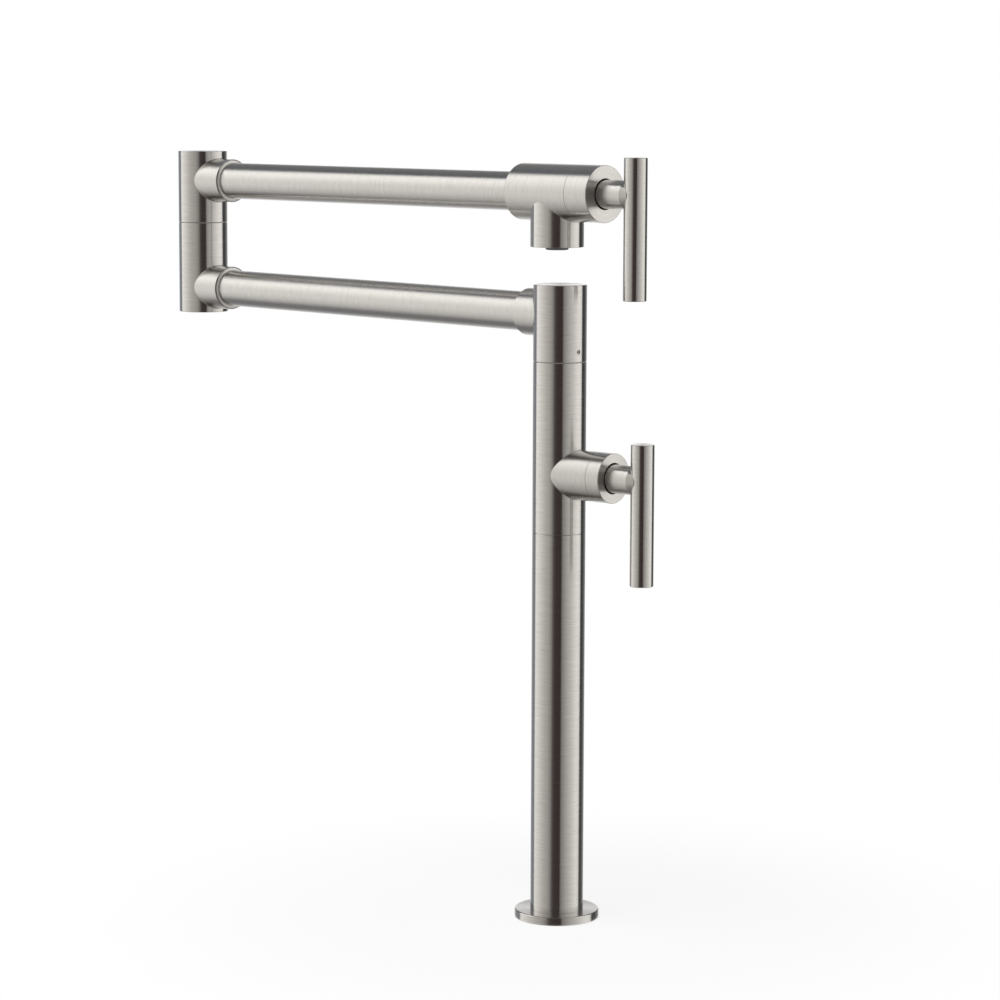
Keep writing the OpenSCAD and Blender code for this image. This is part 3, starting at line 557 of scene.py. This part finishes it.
def bonnetPiece(name, node, body, line, way, seat):
    last, radius = span(node, way, line)[1], girth(node, way, line)
    openR = throat(node, way, line, last - belt)
    inside, foot = last - bonnet["face"], seat - bonnet["thread"]
    turnedPiece(name, node, body, placeAt(line, way, down), [
        (bonnet["boreR"], foot), (bonnet["threadR"], foot, bonnet["threadRound"]), (bonnet["threadR"], seat),
        (radius, seat, seam["edge"]), (radius, last, bonnet["rimRound"]), (openR, last, bonnet["mouthRound"]),
        (openR, inside), (bonnet["boreR"], inside)])

bonnetPiece("valveBonnet", "valve_bonnet", "column", valveLine, front, bossEnd)

# bars and hubs

bar = {"round": 0.45 * mm, "sides": 96}

def barPiece(name, node, body, centre):
    low, high = span(node, up)
    radius = girth(node, up, centre)
    turnedPiece(name, node, body, placeAt((centre[0], centre[1], 0), up, front), [
        (0, low), (radius, low, bar["round"]), (radius, high, bar["round"]), (0, high)],
        closed=False, count=bar["sides"])

hub = {"merge": 1e-6, "saddleNear": 0.03 * mm, "towardBar": 0.9, "sideways": 0.3, "upright": 0.9, "flat": 0.98,
       "onAxis": 1e-5}

def hubPiece(name, node, barNode, body, line, axis):
    # a merged copy of the hub, with exact normals round its axis and the brush marks that go with them
    shape = bmesh.new()
    shape.from_mesh(nodes[node].data)
    bmesh.ops.remove_doubles(shape, verts=shape.verts, dist=hub["merge"])
    shape.normal_update()
    axis, line = Vector(axis), Vector(line)
    low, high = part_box(barNode)
    barAt = (low + high) / 2
    saddleR = girth(barNode, up, barAt) + hub["saddleNear"]

    def toBar(p):
        return Vector((barAt.x - p.x, barAt.y - p.y, 0)).normalized()

    points = [v.co.copy() for v in shape.verts]
    faces, normals, ways, ats = [], [], [], []
    for face in shape.faces:
        n, mid = face.normal.copy(), face.calc_center_median() - line
        along = n.dot(axis)
        out = (mid - axis * mid.dot(axis)).normalized()
        flatWay = math.sqrt(max(0.0, 1 - along * along))
        side = 1 if n.dot(out) >= 0 else -1
        saddle = n.dot(toBar(mid + line)) > hub["towardBar"] and all(
            math.hypot(v.co.x - barAt.x, v.co.y - barAt.y) < saddleR for v in face.verts)
        faces.append([v.index for v in face.verts])
        for v in face.verts:
            rel = v.co - line
            radial = rel - axis * rel.dot(axis)
            far = radial.length
            radial = radial / far if far > hub["onAxis"] else out
            if saddle:
                normal, way = toBar(v.co), Vector(up)
            elif abs(n.dot(axis.cross(out))) > hub["sideways"] and abs(along) < hub["upright"]:
                normal, way = n, axis
            elif abs(along) > hub["flat"]:
                normal, way = n, radial
            else:
                normal = axis * along + radial * side * flatWay
                way = axis * flatWay - radial * side * along
            normals.append(normal)
            ways.append(tuple(way))
            ats.append((rel.dot(axis) + far, radial.z, radial.dot(axis.cross(Vector(up)))))
    shape.free()
    piece(name, markedMesh(name, points, faces, normals, ways, ats), nickel, body, node)

barPiece("valveBar", "valve_bar", "valve_handle", joints["valve_handle_turn"]["pos_m"])
barPiece("outletBar", "outlet_bar", "outlet_handle", joints["outlet_handle_turn"]["pos_m"])
hubPiece("valveHub", "valve_hub", "valve_bar", "valve_handle", valveLine, front)
hubPiece("outletHub", "outlet_hub", "outlet_bar", "outlet_handle", upperLine, upperWay)
print("handles made")

# swivel head, elbows and arms

collar = {"blend": 0.8 * mm, "socket": 11.8 * mm, "seat": 17 * mm, "boreDeep": 15.8 * mm, "bore": 11 * mm,
          "margin": 0.8 * mm, "topEdge": 0.3 * mm, "rimSlope": 22, "chamferLong": 0.6 * mm, "chamferDeep": 0.7 * mm,
          "rimRound": 0.1 * mm, "endLong": 3 * mm}
screwHole = {"r": 1.55 * mm, "deep": 11.1 * mm, "margin": 0.6 * mm}

def roundR(node, axis):  # radius of an upright part, measured on its top or bottom rim
    co = corners(node)
    z = co[:, 2]
    near = collar["topEdge"]
    rim = co[(z > z.max() - near) | (z < z.min() + near)]
    return float(np.hypot(rim[:, 0] - axis[0], rim[:, 1] - axis[1]).max())

headReach = span("swivel_head", lowerWay)[1]
elbowReach = span("lower_elbow", backWay, elbowAxis)[1]
lowerAtElbow = (elbowAt[0], elbowAt[1], lowerZ)
collarR = girth("lower_elbow", backWay, lowerAtElbow, elbowReach - collar["endLong"])
ring = {"low": span("lower_tube_ring", backWay, elbowAxis)[0],
        "outer": girth("lower_tube_ring", lowerWay, lowerLine), "lipR": collar["socket"] + 0.25 * mm,
        "round": 0.12 * mm, "fit": 0.01 * mm}
rimSlope = math.tan(math.radians(collar["rimSlope"]))

def collarPort(z, reach, ringed):
    # out from the axis: the collar's side, its chamfered and sloping rim, the ring's pocket and the tube's socket
    innerR = ring["outer"] if ringed else collar["socket"]
    mouth = reach - (innerR - ring["lipR"]) * rimSlope if ringed else reach
    chamferR = collarR - collar["chamferDeep"]
    top = mouth - (chamferR - innerR) * rimSlope
    points = [(0, collarR), (top - collar["chamferLong"], collarR, collar["rimRound"]),
              (top, chamferR, collar["rimRound"])]
    if ringed:
        points += [(mouth, innerR), (ring["low"], innerR), (ring["low"], collar["socket"])]
    else:
        points += [(mouth, innerR, collar["rimRound"])]
    return {"at": 0, "z": z, "r": collarR, "blend": collar["blend"], "margin": collar["margin"],
            "points": points + [(collar["seat"], collar["socket"]), (collar["seat"], 0)]}

def swivelCap(name, node, screw, body, axis, way, tubeZ, reach, ringed):
    radius = roundR(node, axis)
    low, high = span(node, up)
    ceiling = low + collar["boreDeep"]
    hole = {"at": math.pi, "z": middle(screw), "r": screwHole["r"], "blend": 0, "margin": screwHole["margin"],
            "points": [(radius, screwHole["r"]), (screwHole["deep"], screwHole["r"]), (screwHole["deep"], 0)]}
    branchedPiece(name, node, body, placeAt(axis, up, way),
        [(0, ceiling), (collar["bore"], ceiling), (collar["bore"], low), (radius, low, seam["edge"])],
        [(radius, high, collar["topEdge"]), (0, high)], [collarPort(tubeZ, reach, ringed), hole])

swivelCap("swivelHead", "swivel_head", "swivel_screw", "lower_arm", columnAxis, lowerWay, lowerZ, headReach, False)
swivelCap("upperElbow", "upper_elbow", "elbow_screw", "upper_arm", elbowAxis, upperWay, upperZ, elbowReach, True)

elbowLow, elbowHigh = span("lower_elbow", up)
elbowR = roundR("lower_elbow", elbowAxis)
branchedPiece("lowerElbow", "lower_elbow", "lower_arm", placeAt(elbowAxis, up, backWay),
    [(0, elbowLow), (elbowR, elbowLow, collar["topEdge"])], spigotSocket(elbowR, elbowHigh),
    [collarPort(lowerZ, elbowReach, True)])

def ringPiece(name, node, body, line, way):
    low, high = span(node, way, line)
    outer, inner = ring["outer"] - ring["fit"], collar["socket"]
    mouth = high - (outer - ring["lipR"]) * rimSlope
    turnedPiece(name, node, body, placeAt(line, way, up), [
        (inner, low), (outer, low), (outer, mouth), (ring["lipR"], high, ring["round"]),
        (inner, high, ring["round"])])

ringPiece("lowerRing", "lower_tube_ring", "lower_arm", lowerAtElbow, backWay)
ringPiece("upperRing", "upper_tube_ring", "upper_arm", upperLine, upperWay)
print("elbows made")

# a lathe in Geometry Nodes: it turns a closed profile round an axis, and cuts a thread where the profile asks

class ShapeTree(Graph):
    def __init__(self, name, inputs):
        super().__init__(bpy.data.node_groups.new(name, "GeometryNodeTree"))
        sockets = self.tree.interface
        sockets.new_socket("Profile", in_out="INPUT", socket_type="NodeSocketGeometry")
        for kind, labels in inputs.items():
            for label in labels:
                sockets.new_socket(label, in_out="INPUT", socket_type="NodeSocket" + kind)
        sockets.new_socket("Geometry", in_out="OUTPUT", socket_type="NodeSocketGeometry")
        self.source = self.node("NodeGroupInput").outputs
        self.sink = self.node("NodeGroupOutput").inputs

    def shape(self, kind, inputs=None, **settings):
        return self.out("GeometryNode" + kind, inputs, **settings)

    def scaled(self, vector, share):
        return self.out("VectorMath", {0: vector, "Scale": share}, operation="SCALE")

    def sample(self, value, index, kind):
        return self.shape("SampleIndex", {"Geometry": self.source["Profile"], "Value": value, "Index": index},
                          data_type=kind, domain="POINT")

    def store(self, g, name, value):
        return self.shape("StoreNamedAttribute", {"Geometry": g, "Name": name, "Value": value},
                          data_type="FLOAT_VECTOR", domain="POINT")

    def close(self, g, sharp):  # smooth up to an angle in degrees, made real, in one material
        g = self.shape("SetShadeSmooth", {"Geometry": g, "Shade Smooth": True}, domain="FACE")
        smooth = self.math("LESS_THAN", self.shape("InputMeshEdgeAngle"), math.radians(sharp))
        g = self.shape("SetShadeSmooth", {"Geometry": g, "Shade Smooth": smooth}, domain="EDGE")
        g = self.shape("RealizeInstances", {"Geometry": g})
        g = self.shape("SetMaterial", {"Geometry": g, "Material": self.source["Finish"]})
        self.put(self.sink["Geometry"], g)
        return self.tree

sharpFrom = {"lathe": 24, "drill": 40}  # degrees
toothFlats = (0.06, 0.92)  # where a thread's crest ends and its root starts
mergeNear = 1e-6

def latheTree():
    t = ShapeTree("lathe", {"Vector": ("Origin", "Axis", "Side"), "Int": ("Segments", "Rows"),
                            "Float": ("Thread Pitch", "Thread Depth"), "Material": ("Finish",)})
    s = t.source
    g = t.shape("MeshGrid", {"Size X": 1.0, "Size Y": 1.0, "Vertices X": t.math("ADD", s["Segments"], 1.0),
                             "Vertices Y": s["Rows"]})
    index = t.shape("InputIndex")
    column = t.math("FLOOR", t.math("DIVIDE", t.math("ADD", index, 0.5), s["Rows"]))
    row = t.math("SUBTRACT", index, t.math("MULTIPLY", column, s["Rows"]))
    point = t.node("SeparateXYZ", {0: t.sample(t.shape("InputPosition"), row, "FLOAT_VECTOR")}).outputs
    cut = t.shape("InputNamedAttribute", {"Name": "cut"}, data_type="FLOAT")
    depth = t.math("MULTIPLY", t.sample(cut, row, "FLOAT"), s["Thread Depth"])
    share = t.math("DIVIDE", column, s["Segments"])
    rise = t.math("SUBTRACT", t.math("DIVIDE", point["Z"], s["Thread Pitch"]), share)
    tooth = t.math("MULTIPLY", t.math("ABSOLUTE", t.math("SUBTRACT", t.math("FRACT", rise), 0.5)), 2.0)
    radius = t.math("SUBTRACT", point["X"], t.math("MULTIPLY", t.fit(tooth, *toothFlats), depth))
    angle = t.math("MULTIPLY", share, fullTurn)
    c, w = t.math("COSINE", angle), t.math("SINE", angle)
    third = t.vector("CROSS_PRODUCT", s["Axis"], s["Side"])
    spot = s["Origin"]
    for way, far in ((s["Axis"], point["Z"]), (s["Side"], t.math("MULTIPLY", radius, c)),
                     (third, t.math("MULTIPLY", radius, w))):
        spot = t.vector("ADD", spot, t.scaled(way, far))
    g = t.store(g, "at", t.out("CombineXYZ", {0: point["Z"], 1: c, 2: w}))
    g = t.store(g, "way", s["Axis"])
    g = t.shape("SetPosition", {"Geometry": g, "Position": spot})
    g = t.shape("MergeByDistance", {"Geometry": g, "Distance": mergeNear})
    return t.close(g, sharpFrom["lathe"])

def builtMesh(source, tree, name, values):  # what a tree makes of a source mesh, the right way out
    obj = linked(source.name, source)
    maker = obj.modifiers.new(name, "NODES")
    maker.node_group = tree
    sockets = {s.name: s.identifier for s in tree.interface.items_tree if s.in_out == "INPUT"}
    for label, value in values.items():
        maker[sockets[label]] = value
    mesh = bpy.data.meshes.new_from_object(obj.evaluated_get(bpy.context.evaluated_depsgraph_get()))
    mesh.name = name
    bpy.data.objects.remove(obj)
    if volumeOf(name, mesh) < 0:
        mesh.flip_normals()
    print("  built", name, len(mesh.polygons), "faces")
    return mesh

lathe = latheTree()

def lathePiece(name, node, body, origin, axis, side, points, finish, segments, pitch=1.8 * mm, depth=0.0):
    # points: (radius, height, share of the thread's depth)
    loop = points + points[:1]
    profile = bpy.data.meshes.new(name + "Profile")
    profile.from_pydata([(p[0], 0, p[1]) for p in loop], [], [])
    cuts = [p[2] if len(p) > 2 else 0.0 for p in loop]
    profile.attributes.new("cut", "FLOAT", "POINT").data.foreach_set("value", cuts)
    mesh = builtMesh(profile, lathe, name, {
        "Origin": tuple(origin), "Axis": tuple(axis), "Side": tuple(side), "Segments": segments, "Rows": len(loop),
        "Thread Pitch": pitch, "Thread Depth": depth, "Finish": finish})
    piece(name, mesh, finish, body, node)

tube = {"wall": 1.2 * mm, "edge": 0.2 * mm, "sides": 128}

def tubePiece(name, node, body, line, way):
    low, high = span(node, way, line)
    radius = girth(node, way, line)
    inner, e = radius - tube["wall"], tube["edge"]
    lathePiece(name, node, body, line, way, up, [
        (radius - e, low), (radius, low + e), (radius, high - e), (radius - e, high), (inner, high), (inner, low)],
        nickel, tube["sides"])

tubePiece("lowerTube", "lower_arm_tube", "lower_arm", lowerLine, lowerWay)
tubePiece("upperTube", "upper_arm_tube", "upper_arm", upperLine, upperWay)
print("arms made")

shank = {"bore": 6 * mm, "pitch": 1.8 * mm, "depth": 0.85 * mm, "plainEnd": 12 * mm, "threadTop": -28.2 * mm,
         "edge": 0.4 * mm, "step": 0.225 * mm, "runOut": 1.8 * mm, "sides": 72}

def shankPiece():
    low, high = span("mounting_shank", up)
    radius = girth("mounting_shank", up, columnAxis)
    first, last = low + shank["plainEnd"], shank["threadTop"]
    inner, e = shank["bore"], shank["edge"]
    points = [(inner, low), (radius - e, low), (radius, low + e), (radius, first)]
    steps = int((last - first) / shank["step"])
    for k in range(1, steps):
        z = first + (last - first) * k / steps
        points.append((radius, z, max(0.0, min(1.0, (z - first) / shank["runOut"], (last - z) / shank["runOut"]))))
    points += [(radius, last), (radius, high - e), (radius - e, high), (inner, high)]
    lathePiece("shank", "mounting_shank", "column", (0, 0, 0), up, front, points, brass, shank["sides"],
               shank["pitch"], shank["depth"])

shankPiece()
print("shank made")

# the aerator's insert: turned with a round lip, its holes drilled by Geometry Nodes in rings, as in the frame

aerator = {"lip": 1.1 * mm, "holeR": 0.75 * mm, "holeGap": 2.4 * mm, "rings": 2, "holeSides": 20, "lipSteps": 8,
           "sides": 96}

def drillTree():
    t = ShapeTree("drilledRings", {"Vector": ("Centre",), "Int": ("Rings", "Hole Sides"),
                                   "Float": ("Hole Gap", "Hole Radius", "Hole Length"), "Material": ("Finish",)})
    s = t.source
    rings = s["Rings"]
    count = t.math("ADD", t.math("MULTIPLY", t.math("MULTIPLY", rings, t.math("ADD", rings, 1.0)), 3.0), 1.0)
    index = t.shape("InputIndex")
    # ring k holds 6k holes, so hole i lies in ring (sqrt(9 + 12i) - 3) / 6, rounded up
    root = t.math("SQRT", t.math("ADD", t.math("MULTIPLY", index, 12.0), 9.0))
    ringOf = t.math("CEIL", t.math("SUBTRACT", t.math("DIVIDE", t.math("SUBTRACT", root, 3.0), 6.0), 1e-4))
    before = t.math("MULTIPLY", t.math("MULTIPLY", ringOf, t.math("SUBTRACT", ringOf, 1.0)), 3.0)
    place = t.math("SUBTRACT", t.math("SUBTRACT", index, 1.0), before)
    share = t.math("DIVIDE", place, t.math("MAXIMUM", t.math("MULTIPLY", ringOf, 6.0), 1.0))
    angle = t.math("MULTIPLY", share, fullTurn)
    far = t.math("MULTIPLY", ringOf, s["Hole Gap"])
    spot = t.out("CombineXYZ", {0: t.math("MULTIPLY", far, t.math("COSINE", angle)),
                                1: t.math("MULTIPLY", far, t.math("SINE", angle))})
    g = t.shape("SetPosition", {"Geometry": t.shape("MeshLine", {"Count": count}),
                                "Position": t.vector("ADD", spot, s["Centre"])})
    drill = t.shape("MeshCylinder", {"Vertices": s["Hole Sides"], "Radius": s["Hole Radius"],
                                     "Depth": s["Hole Length"]})
    g = t.shape("InstanceOnPoints", {"Points": t.shape("MeshToPoints", {"Mesh": g}), "Instance": drill})
    g = t.shape("RealizeInstances", {"Geometry": g})
    g = t.shape("MeshBoolean", {"Mesh 1": s["Profile"], "Mesh 2": g}, operation="DIFFERENCE", solver="EXACT")
    return t.close(g, sharpFrom["drill"])

def aeratorPiece():
    low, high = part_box("aerator_insert")
    centre = (low + high) / 2
    radius, lip, steps = (high.x - low.x) / 2, aerator["lip"], aerator["lipSteps"]
    points = [(0, low.z)]
    for k in range(steps + 1):
        a = math.pi / 2 * k / steps
        points.append((radius - lip + lip * math.sin(a), low.z + lip - lip * math.cos(a)))
    points += [(radius, high.z), (0, high.z)]
    body = turnedMesh("insertBody", placeAt((centre.x, centre.y, 0), up, front), points, False, aerator["sides"])
    mesh = builtMesh(body, drillTree(), "aeratorInsert", {
        "Centre": tuple(centre), "Rings": aerator["rings"], "Hole Gap": aerator["holeGap"],
        "Hole Radius": aerator["holeR"], "Hole Length": 2 * (high.z - low.z), "Hole Sides": aerator["holeSides"],
        "Finish": greyPlastic})
    piece("aeratorInsert", mesh, greyPlastic, "upper_arm", "aerator_insert")
    return centre

insertAt = aeratorPiece()
print("aerator made")

# outlet

spout = {"r": 16.15 * mm, "edge": 0.3 * mm, "blend": 0.4 * mm, "mouthR": 11 * mm, "mouthDeep": 11.5 * mm,
         "mouthRound": 0.25 * mm, "tubeSocket": 11.8 * mm, "tubeRound": 0.2 * mm, "tubeDeep": 11 * mm,
         "margin": 0.6 * mm}
outletLow, outletFront = span("outlet_body", upperWay, upperLine)
outletR = girth("outlet_bonnet", upperWay, upperLine)
outletSeat = span("outlet_seat_seal", upperWay, upperLine)[0]
spoutAt = (Vector((insertAt.x, insertAt.y, 0)) - Vector(upperLine)) @ Vector(upperWay)
drop = upperZ - span("outlet_body", up)[0]
socketEnd, mouthEnd = outletLow + spout["tubeDeep"], drop - spout["mouthDeep"]
branchedPiece("outletBody", "outlet_body", "upper_arm", placeAt(upperLine, upperWay, down),
    [(0, socketEnd), (spout["tubeSocket"], socketEnd), (spout["tubeSocket"], outletLow, spout["tubeRound"]),
     (outletR, outletLow, spout["edge"])],
    [(outletR, outletFront, seam["edge"])] + cartridgeBore(outletFront, outletSeat),
    [{"at": 0, "z": spoutAt, "r": spout["r"], "blend": spout["blend"], "margin": spout["margin"], "points": [
        (0, spout["r"]), (drop, spout["r"], spout["edge"]), (drop, spout["mouthR"], spout["mouthRound"]),
        (mouthEnd, spout["mouthR"]), (mouthEnd, 0)]}])
bonnetPiece("outletBonnet", "outlet_bonnet", "upper_arm", upperLine, upperWay, outletFront)
print("outlet made")

# floor, light and camera

studio = {"toCamera": -49.36, "floorR": 0.8, "floorRings": 24, "floorSides": 96, "fade": (0.10, 0.32),
          "fadeInMetal": (0.0255, 0.0275), "floorColour": 0.93, "floorRoughness": 0.9, "floorWhite": 0.85}

def stagePiece(name, points, faces):
    mesh = bpy.data.meshes.new(name)
    mesh.from_pydata(points, [], faces)
    return linked(name, mesh)

def floorPiece():
    rings, count = studio["floorRings"], studio["floorSides"]
    points, faces = [(0, 0, 0)], []
    for i in range(1, rings + 1):
        r = studio["floorR"] * i / rings
        points += [(r * math.cos(a), r * math.sin(a), 0) for a in evenAngles(count)]
    for k in range(count):
        after = (k + 1) % count
        faces.append((0, 1 + k, 1 + after))
        for i in range(rings - 1):
            a, b = 1 + i * count + k, 1 + i * count + after
            faces.append((a, a + count, b + count, b))
    obj = stagePiece("floor", points, faces)
    t = Finish("paleFloor")
    t.feed("Base Color", (studio["floorColour"],) * 3 + (1,))
    t.feed("Roughness", studio["floorRoughness"])
    t.feed("Specular IOR Level", 0.0)
    ray = t.node("LightPath").outputs
    shown = t.math("ADD", t.math("ADD", ray["Is Camera Ray"], ray["Is Glossy Ray"]), ray["Is Transmission Ray"],
                   use_clamp=True)
    white = t.out("Emission", {"Color": (1, 1, 1, 1), "Strength": 1.0})
    share = t.math("MULTIPLY", shown, studio["floorWhite"])
    ground = t.out("MixShader", {0: share, 1: t.shader.outputs[0], 2: white})
    coords = t.node("TexCoord").outputs["Object"]
    far = t.node("VectorMath", {0: coords}, operation="LENGTH").outputs["Value"]
    toCamera, inMetal = (t.fit(far, *studio[k], interpolation_type="SMOOTHSTEP") for k in ("fade", "fadeInMetal"))
    fade = t.out("Mix", {0: ray["Is Glossy Ray"], 2: toCamera, 3: inMetal})
    clear = t.out("BsdfTransparent")
    # to the camera the floor turns white with distance, and other rays pass it there
    beyond = t.out("MixShader", {0: ray["Is Camera Ray"], 1: clear, 2: white})
    top = t.out("MixShader", {0: fade, 1: ground, 2: beyond})
    t.surface(t.out("MixShader", {0: t.node("NewGeometry").outputs["Backfacing"], 1: top, 2: clear}))
    obj.data.materials.append(t.material)

floorPiece()

# the studio by direction: degrees from the camera (right is plus), brightness and tint
plain, warm, soft = (1, 1, 1), (1, 0.97, 0.92), (1, 0.97, 0.93)
cool, dim = (0.92, 0.98, 1.08), (0.95, 0.98, 1.05)
sideRamp = [(-180, 1.0, plain), (-165, 0.62, plain), (-145, 0.32, cool), (-121, 0.22, cool),
            (-117, 1.08, (1, 0.99, 0.98)), (-100, 0.94, (1, 0.99, 0.97)), (-82, 0.79, (1, 0.98, 0.94)),
            (-56, 0.55, warm), (-30, 0.42, warm), (0, 0.30, soft), (15, 0.25, (1, 0.97, 0.94)),
            (33, 0.46, (1, 0.98, 0.95)), (57, 0.68, (1, 0.99, 0.96)), (88, 1.03, (1, 0.98, 0.95)),
            (107, 0.95, (1, 0.99, 0.97)), (110, 0.05, dim), (128, 0.05, dim), (150, 0.25, plain), (165, 0.6, plain),
            (180, 1.0, plain)]
softboxRamp = [(-180, 0.20, plain), (-140, 0.17, dim), (-121, 0.17, dim), (-117, 1.6, (1, 0.99, 0.98)),
               (-97, 1.2, (1, 0.99, 0.96)), (-82, 0.9, (1, 0.98, 0.95)), (-56, 0.55, warm), (0, 0.3, warm),
               (15, 0.25, (1, 0.97, 0.94)), (57, 0.7, (1, 0.99, 0.96)), (107, 1.0, (1, 0.99, 0.97)),
               (112, 0.12, plain), (150, 0.15, plain), (180, 0.20, plain)]
highRamp = [(-180, 0.28, (0.97, 0.99, 1.03)), (-130, 0.14, cool), (-60, 0.14, cool), (0, 0.10, (1, 0.95, 0.95)),
            (60, 0.22, (0.95, 0.98, 1.04)), (130, 0.22, cool), (180, 0.28, (0.97, 0.99, 1.03))]
lowRamp = [(-180, 0.45, plain), (-150, 0.15, (1, 0.95, 0.9)), (-125, 0.2, (1, 0.95, 0.9)), (-80, 0.22, soft),
           (-20, 0.08, (1, 0.9, 0.86)), (20, 0.08, (1, 0.9, 0.86)), (60, 0.25, soft), (120, 0.25, soft),
           (180, 0.45, plain)]
# degrees above the horizon, over which one ramp gives way to the next
edges = {"rise": (-2, 30), "high": (50, 56), "low": (0, -68)}
backdrop = {"turn": 160, "blend": 12, "low": -20, "high": 12, "soft": 6}

def studioWorld():
    world = bpy.data.worlds.new("studio")
    scene.world = world
    world.use_nodes = True
    world.node_tree.nodes.clear()
    t = Graph(world.node_tree)
    look = t.node("TexCoord").outputs["Generated"]
    a = math.radians(studio["toCamera"])
    toward, right = (t.node("VectorMath", {0: look, 1: way}, operation="DOT_PRODUCT").outputs["Value"]
                     for way in ((math.cos(a), math.sin(a), 0), (-math.sin(a), math.cos(a), 0)))
    turned = t.math("ARCTAN2", right, toward)
    place = t.math("MULTIPLY_ADD", turned, 1 / fullTurn, 0.5)
    rise = t.math("ARCSINE", t.node("SeparateXYZ", {0: look}).outputs["Z"])

    def light(stops):
        return t.ramp(place, [(at / 360 + 0.5, tuple(level * c for c in tint)) for at, level, tint in stops])

    def band(low, high):
        return t.fit(rise, math.radians(low), math.radians(high), interpolation_type="SMOOTHSTEP")

    colour = light(sideRamp)
    for zone, stops in (("rise", softboxRamp), ("high", highRamp), ("low", lowRamp)):
        colour = t.tint(band(*edges[zone]), colour, light(stops))
    # the white backdrop shows to the camera, and in metal where a reflection looks back at it
    ray = t.node("LightPath").outputs
    behind = t.fit(t.math("ABSOLUTE", turned), math.radians(backdrop["turn"]),
                   math.radians(backdrop["turn"] + backdrop["blend"]))
    level = t.math("SUBTRACT", band(backdrop["low"] - backdrop["soft"], backdrop["low"]),
                   band(backdrop["high"], backdrop["high"] + backdrop["soft"]), use_clamp=True)
    inMetal = t.math("MULTIPLY", ray["Is Glossy Ray"], t.math("MULTIPLY", behind, level))
    seen = t.math("ADD", ray["Is Camera Ray"], ray["Is Transmission Ray"])
    colour = t.tint(t.math("ADD", seen, inMetal, use_clamp=True), colour, (1, 1, 1, 1))
    t.node("OutputWorld", {"Surface": t.out("Background", {"Color": colour, "Strength": 1.0})})

studioWorld()

# the dark gap between the two softboxes, beside the camera; it shows in the metal alone
gapCard = {"radius": 1.15, "low": -0.9, "high": 1.6, "from": -46, "to": 13.5, "strips": 48,
           "clear": [(0.0, 1.0), (0.16, 0.86), (0.30, 0.60), (0.40, 0.16), (0.55, 0.03), (1.0, 0.0)],
           "dark": (0.045, 0.033, 0.033, 1)}

def darkGap():
    count = gapCard["strips"]
    points, faces = [], []
    for i in range(count + 1):
        a = math.radians(studio["toCamera"] + gapCard["from"] + (gapCard["to"] - gapCard["from"]) * i / count)
        x, y = gapCard["radius"] * math.cos(a), gapCard["radius"] * math.sin(a)
        points += [(x, y, gapCard["low"]), (x, y, gapCard["high"])]
        if i:
            faces.append((2 * i - 2, 2 * i, 2 * i + 1, 2 * i - 1))
    obj = stagePiece("gapCard", points, faces)
    across = obj.data.attributes.new("across", "FLOAT", "POINT")
    across.data.foreach_set("value", [i // 2 / count for i in range(len(points))])
    t = Finish("darkCard")
    place = t.node("Attribute", attribute_name="across").outputs["Fac"]
    clearness = t.ramp(place, [(at, (level,) * 3) for at, level in gapCard["clear"]])
    dark = t.out("Emission", {"Color": gapCard["dark"], "Strength": 1.0})
    t.surface(t.out("MixShader", {0: clearness, 1: dark, 2: t.out("BsdfTransparent")}))
    obj.data.materials.append(t.material)
    obj.visible_camera = obj.visible_diffuse = obj.visible_shadow = obj.visible_transmission = False

darkGap()

lamp = {"heading": studio["toCamera"] - 40, "rise": 68, "distance": 1.6, "size": 1.2, "power": 14,
        "target": (0, 0, 0.1)}

def directed(heading, rise):  # unit vector
    return Vector((math.cos(heading) * math.cos(rise), math.sin(heading) * math.cos(rise), math.sin(rise)))

def overheadLamp():
    data = bpy.data.lights.new("overhead", "AREA")
    data.shape = "DISK"
    data.size = lamp["size"]
    data.energy = lamp["power"]
    obj = linked("overhead", data)
    way = directed(math.radians(lamp["heading"]), math.radians(lamp["rise"]))
    obj.location = Vector(lamp["target"]) + way * lamp["distance"]
    obj.rotation_euler = way.to_track_quat("Z", "Y").to_euler()
    obj.visible_glossy = False
    obj.visible_camera = False

overheadLamp()

camera = {"at": (1.24035, -1.44509, 0.4988), "heading": 131.70, "tilt": -7.32, "roll": 0.21, "lens": 115.76,
          "sensor": 36, "clip": (0.05, 20)}

def photoCamera():
    data = bpy.data.cameras.new("photo")
    data.sensor_width = camera["sensor"]
    data.lens = camera["lens"]
    data.clip_start, data.clip_end = camera["clip"]
    obj = linked("photo", data)
    h, e, r = (math.radians(camera[k]) for k in ("heading", "tilt", "roll"))
    look = directed(h, e)
    right = Vector((math.sin(h), -math.cos(h), 0))
    top = right.cross(look)
    x = right * math.cos(r) + top * math.sin(r)
    y = top * math.cos(r) - right * math.sin(r)
    m = Matrix((x, y, -look)).transposed().to_4x4()
    m.translation = Vector(camera["at"])
    obj.matrix_world = m
    scene.camera = obj

photoCamera()
print("studio made")
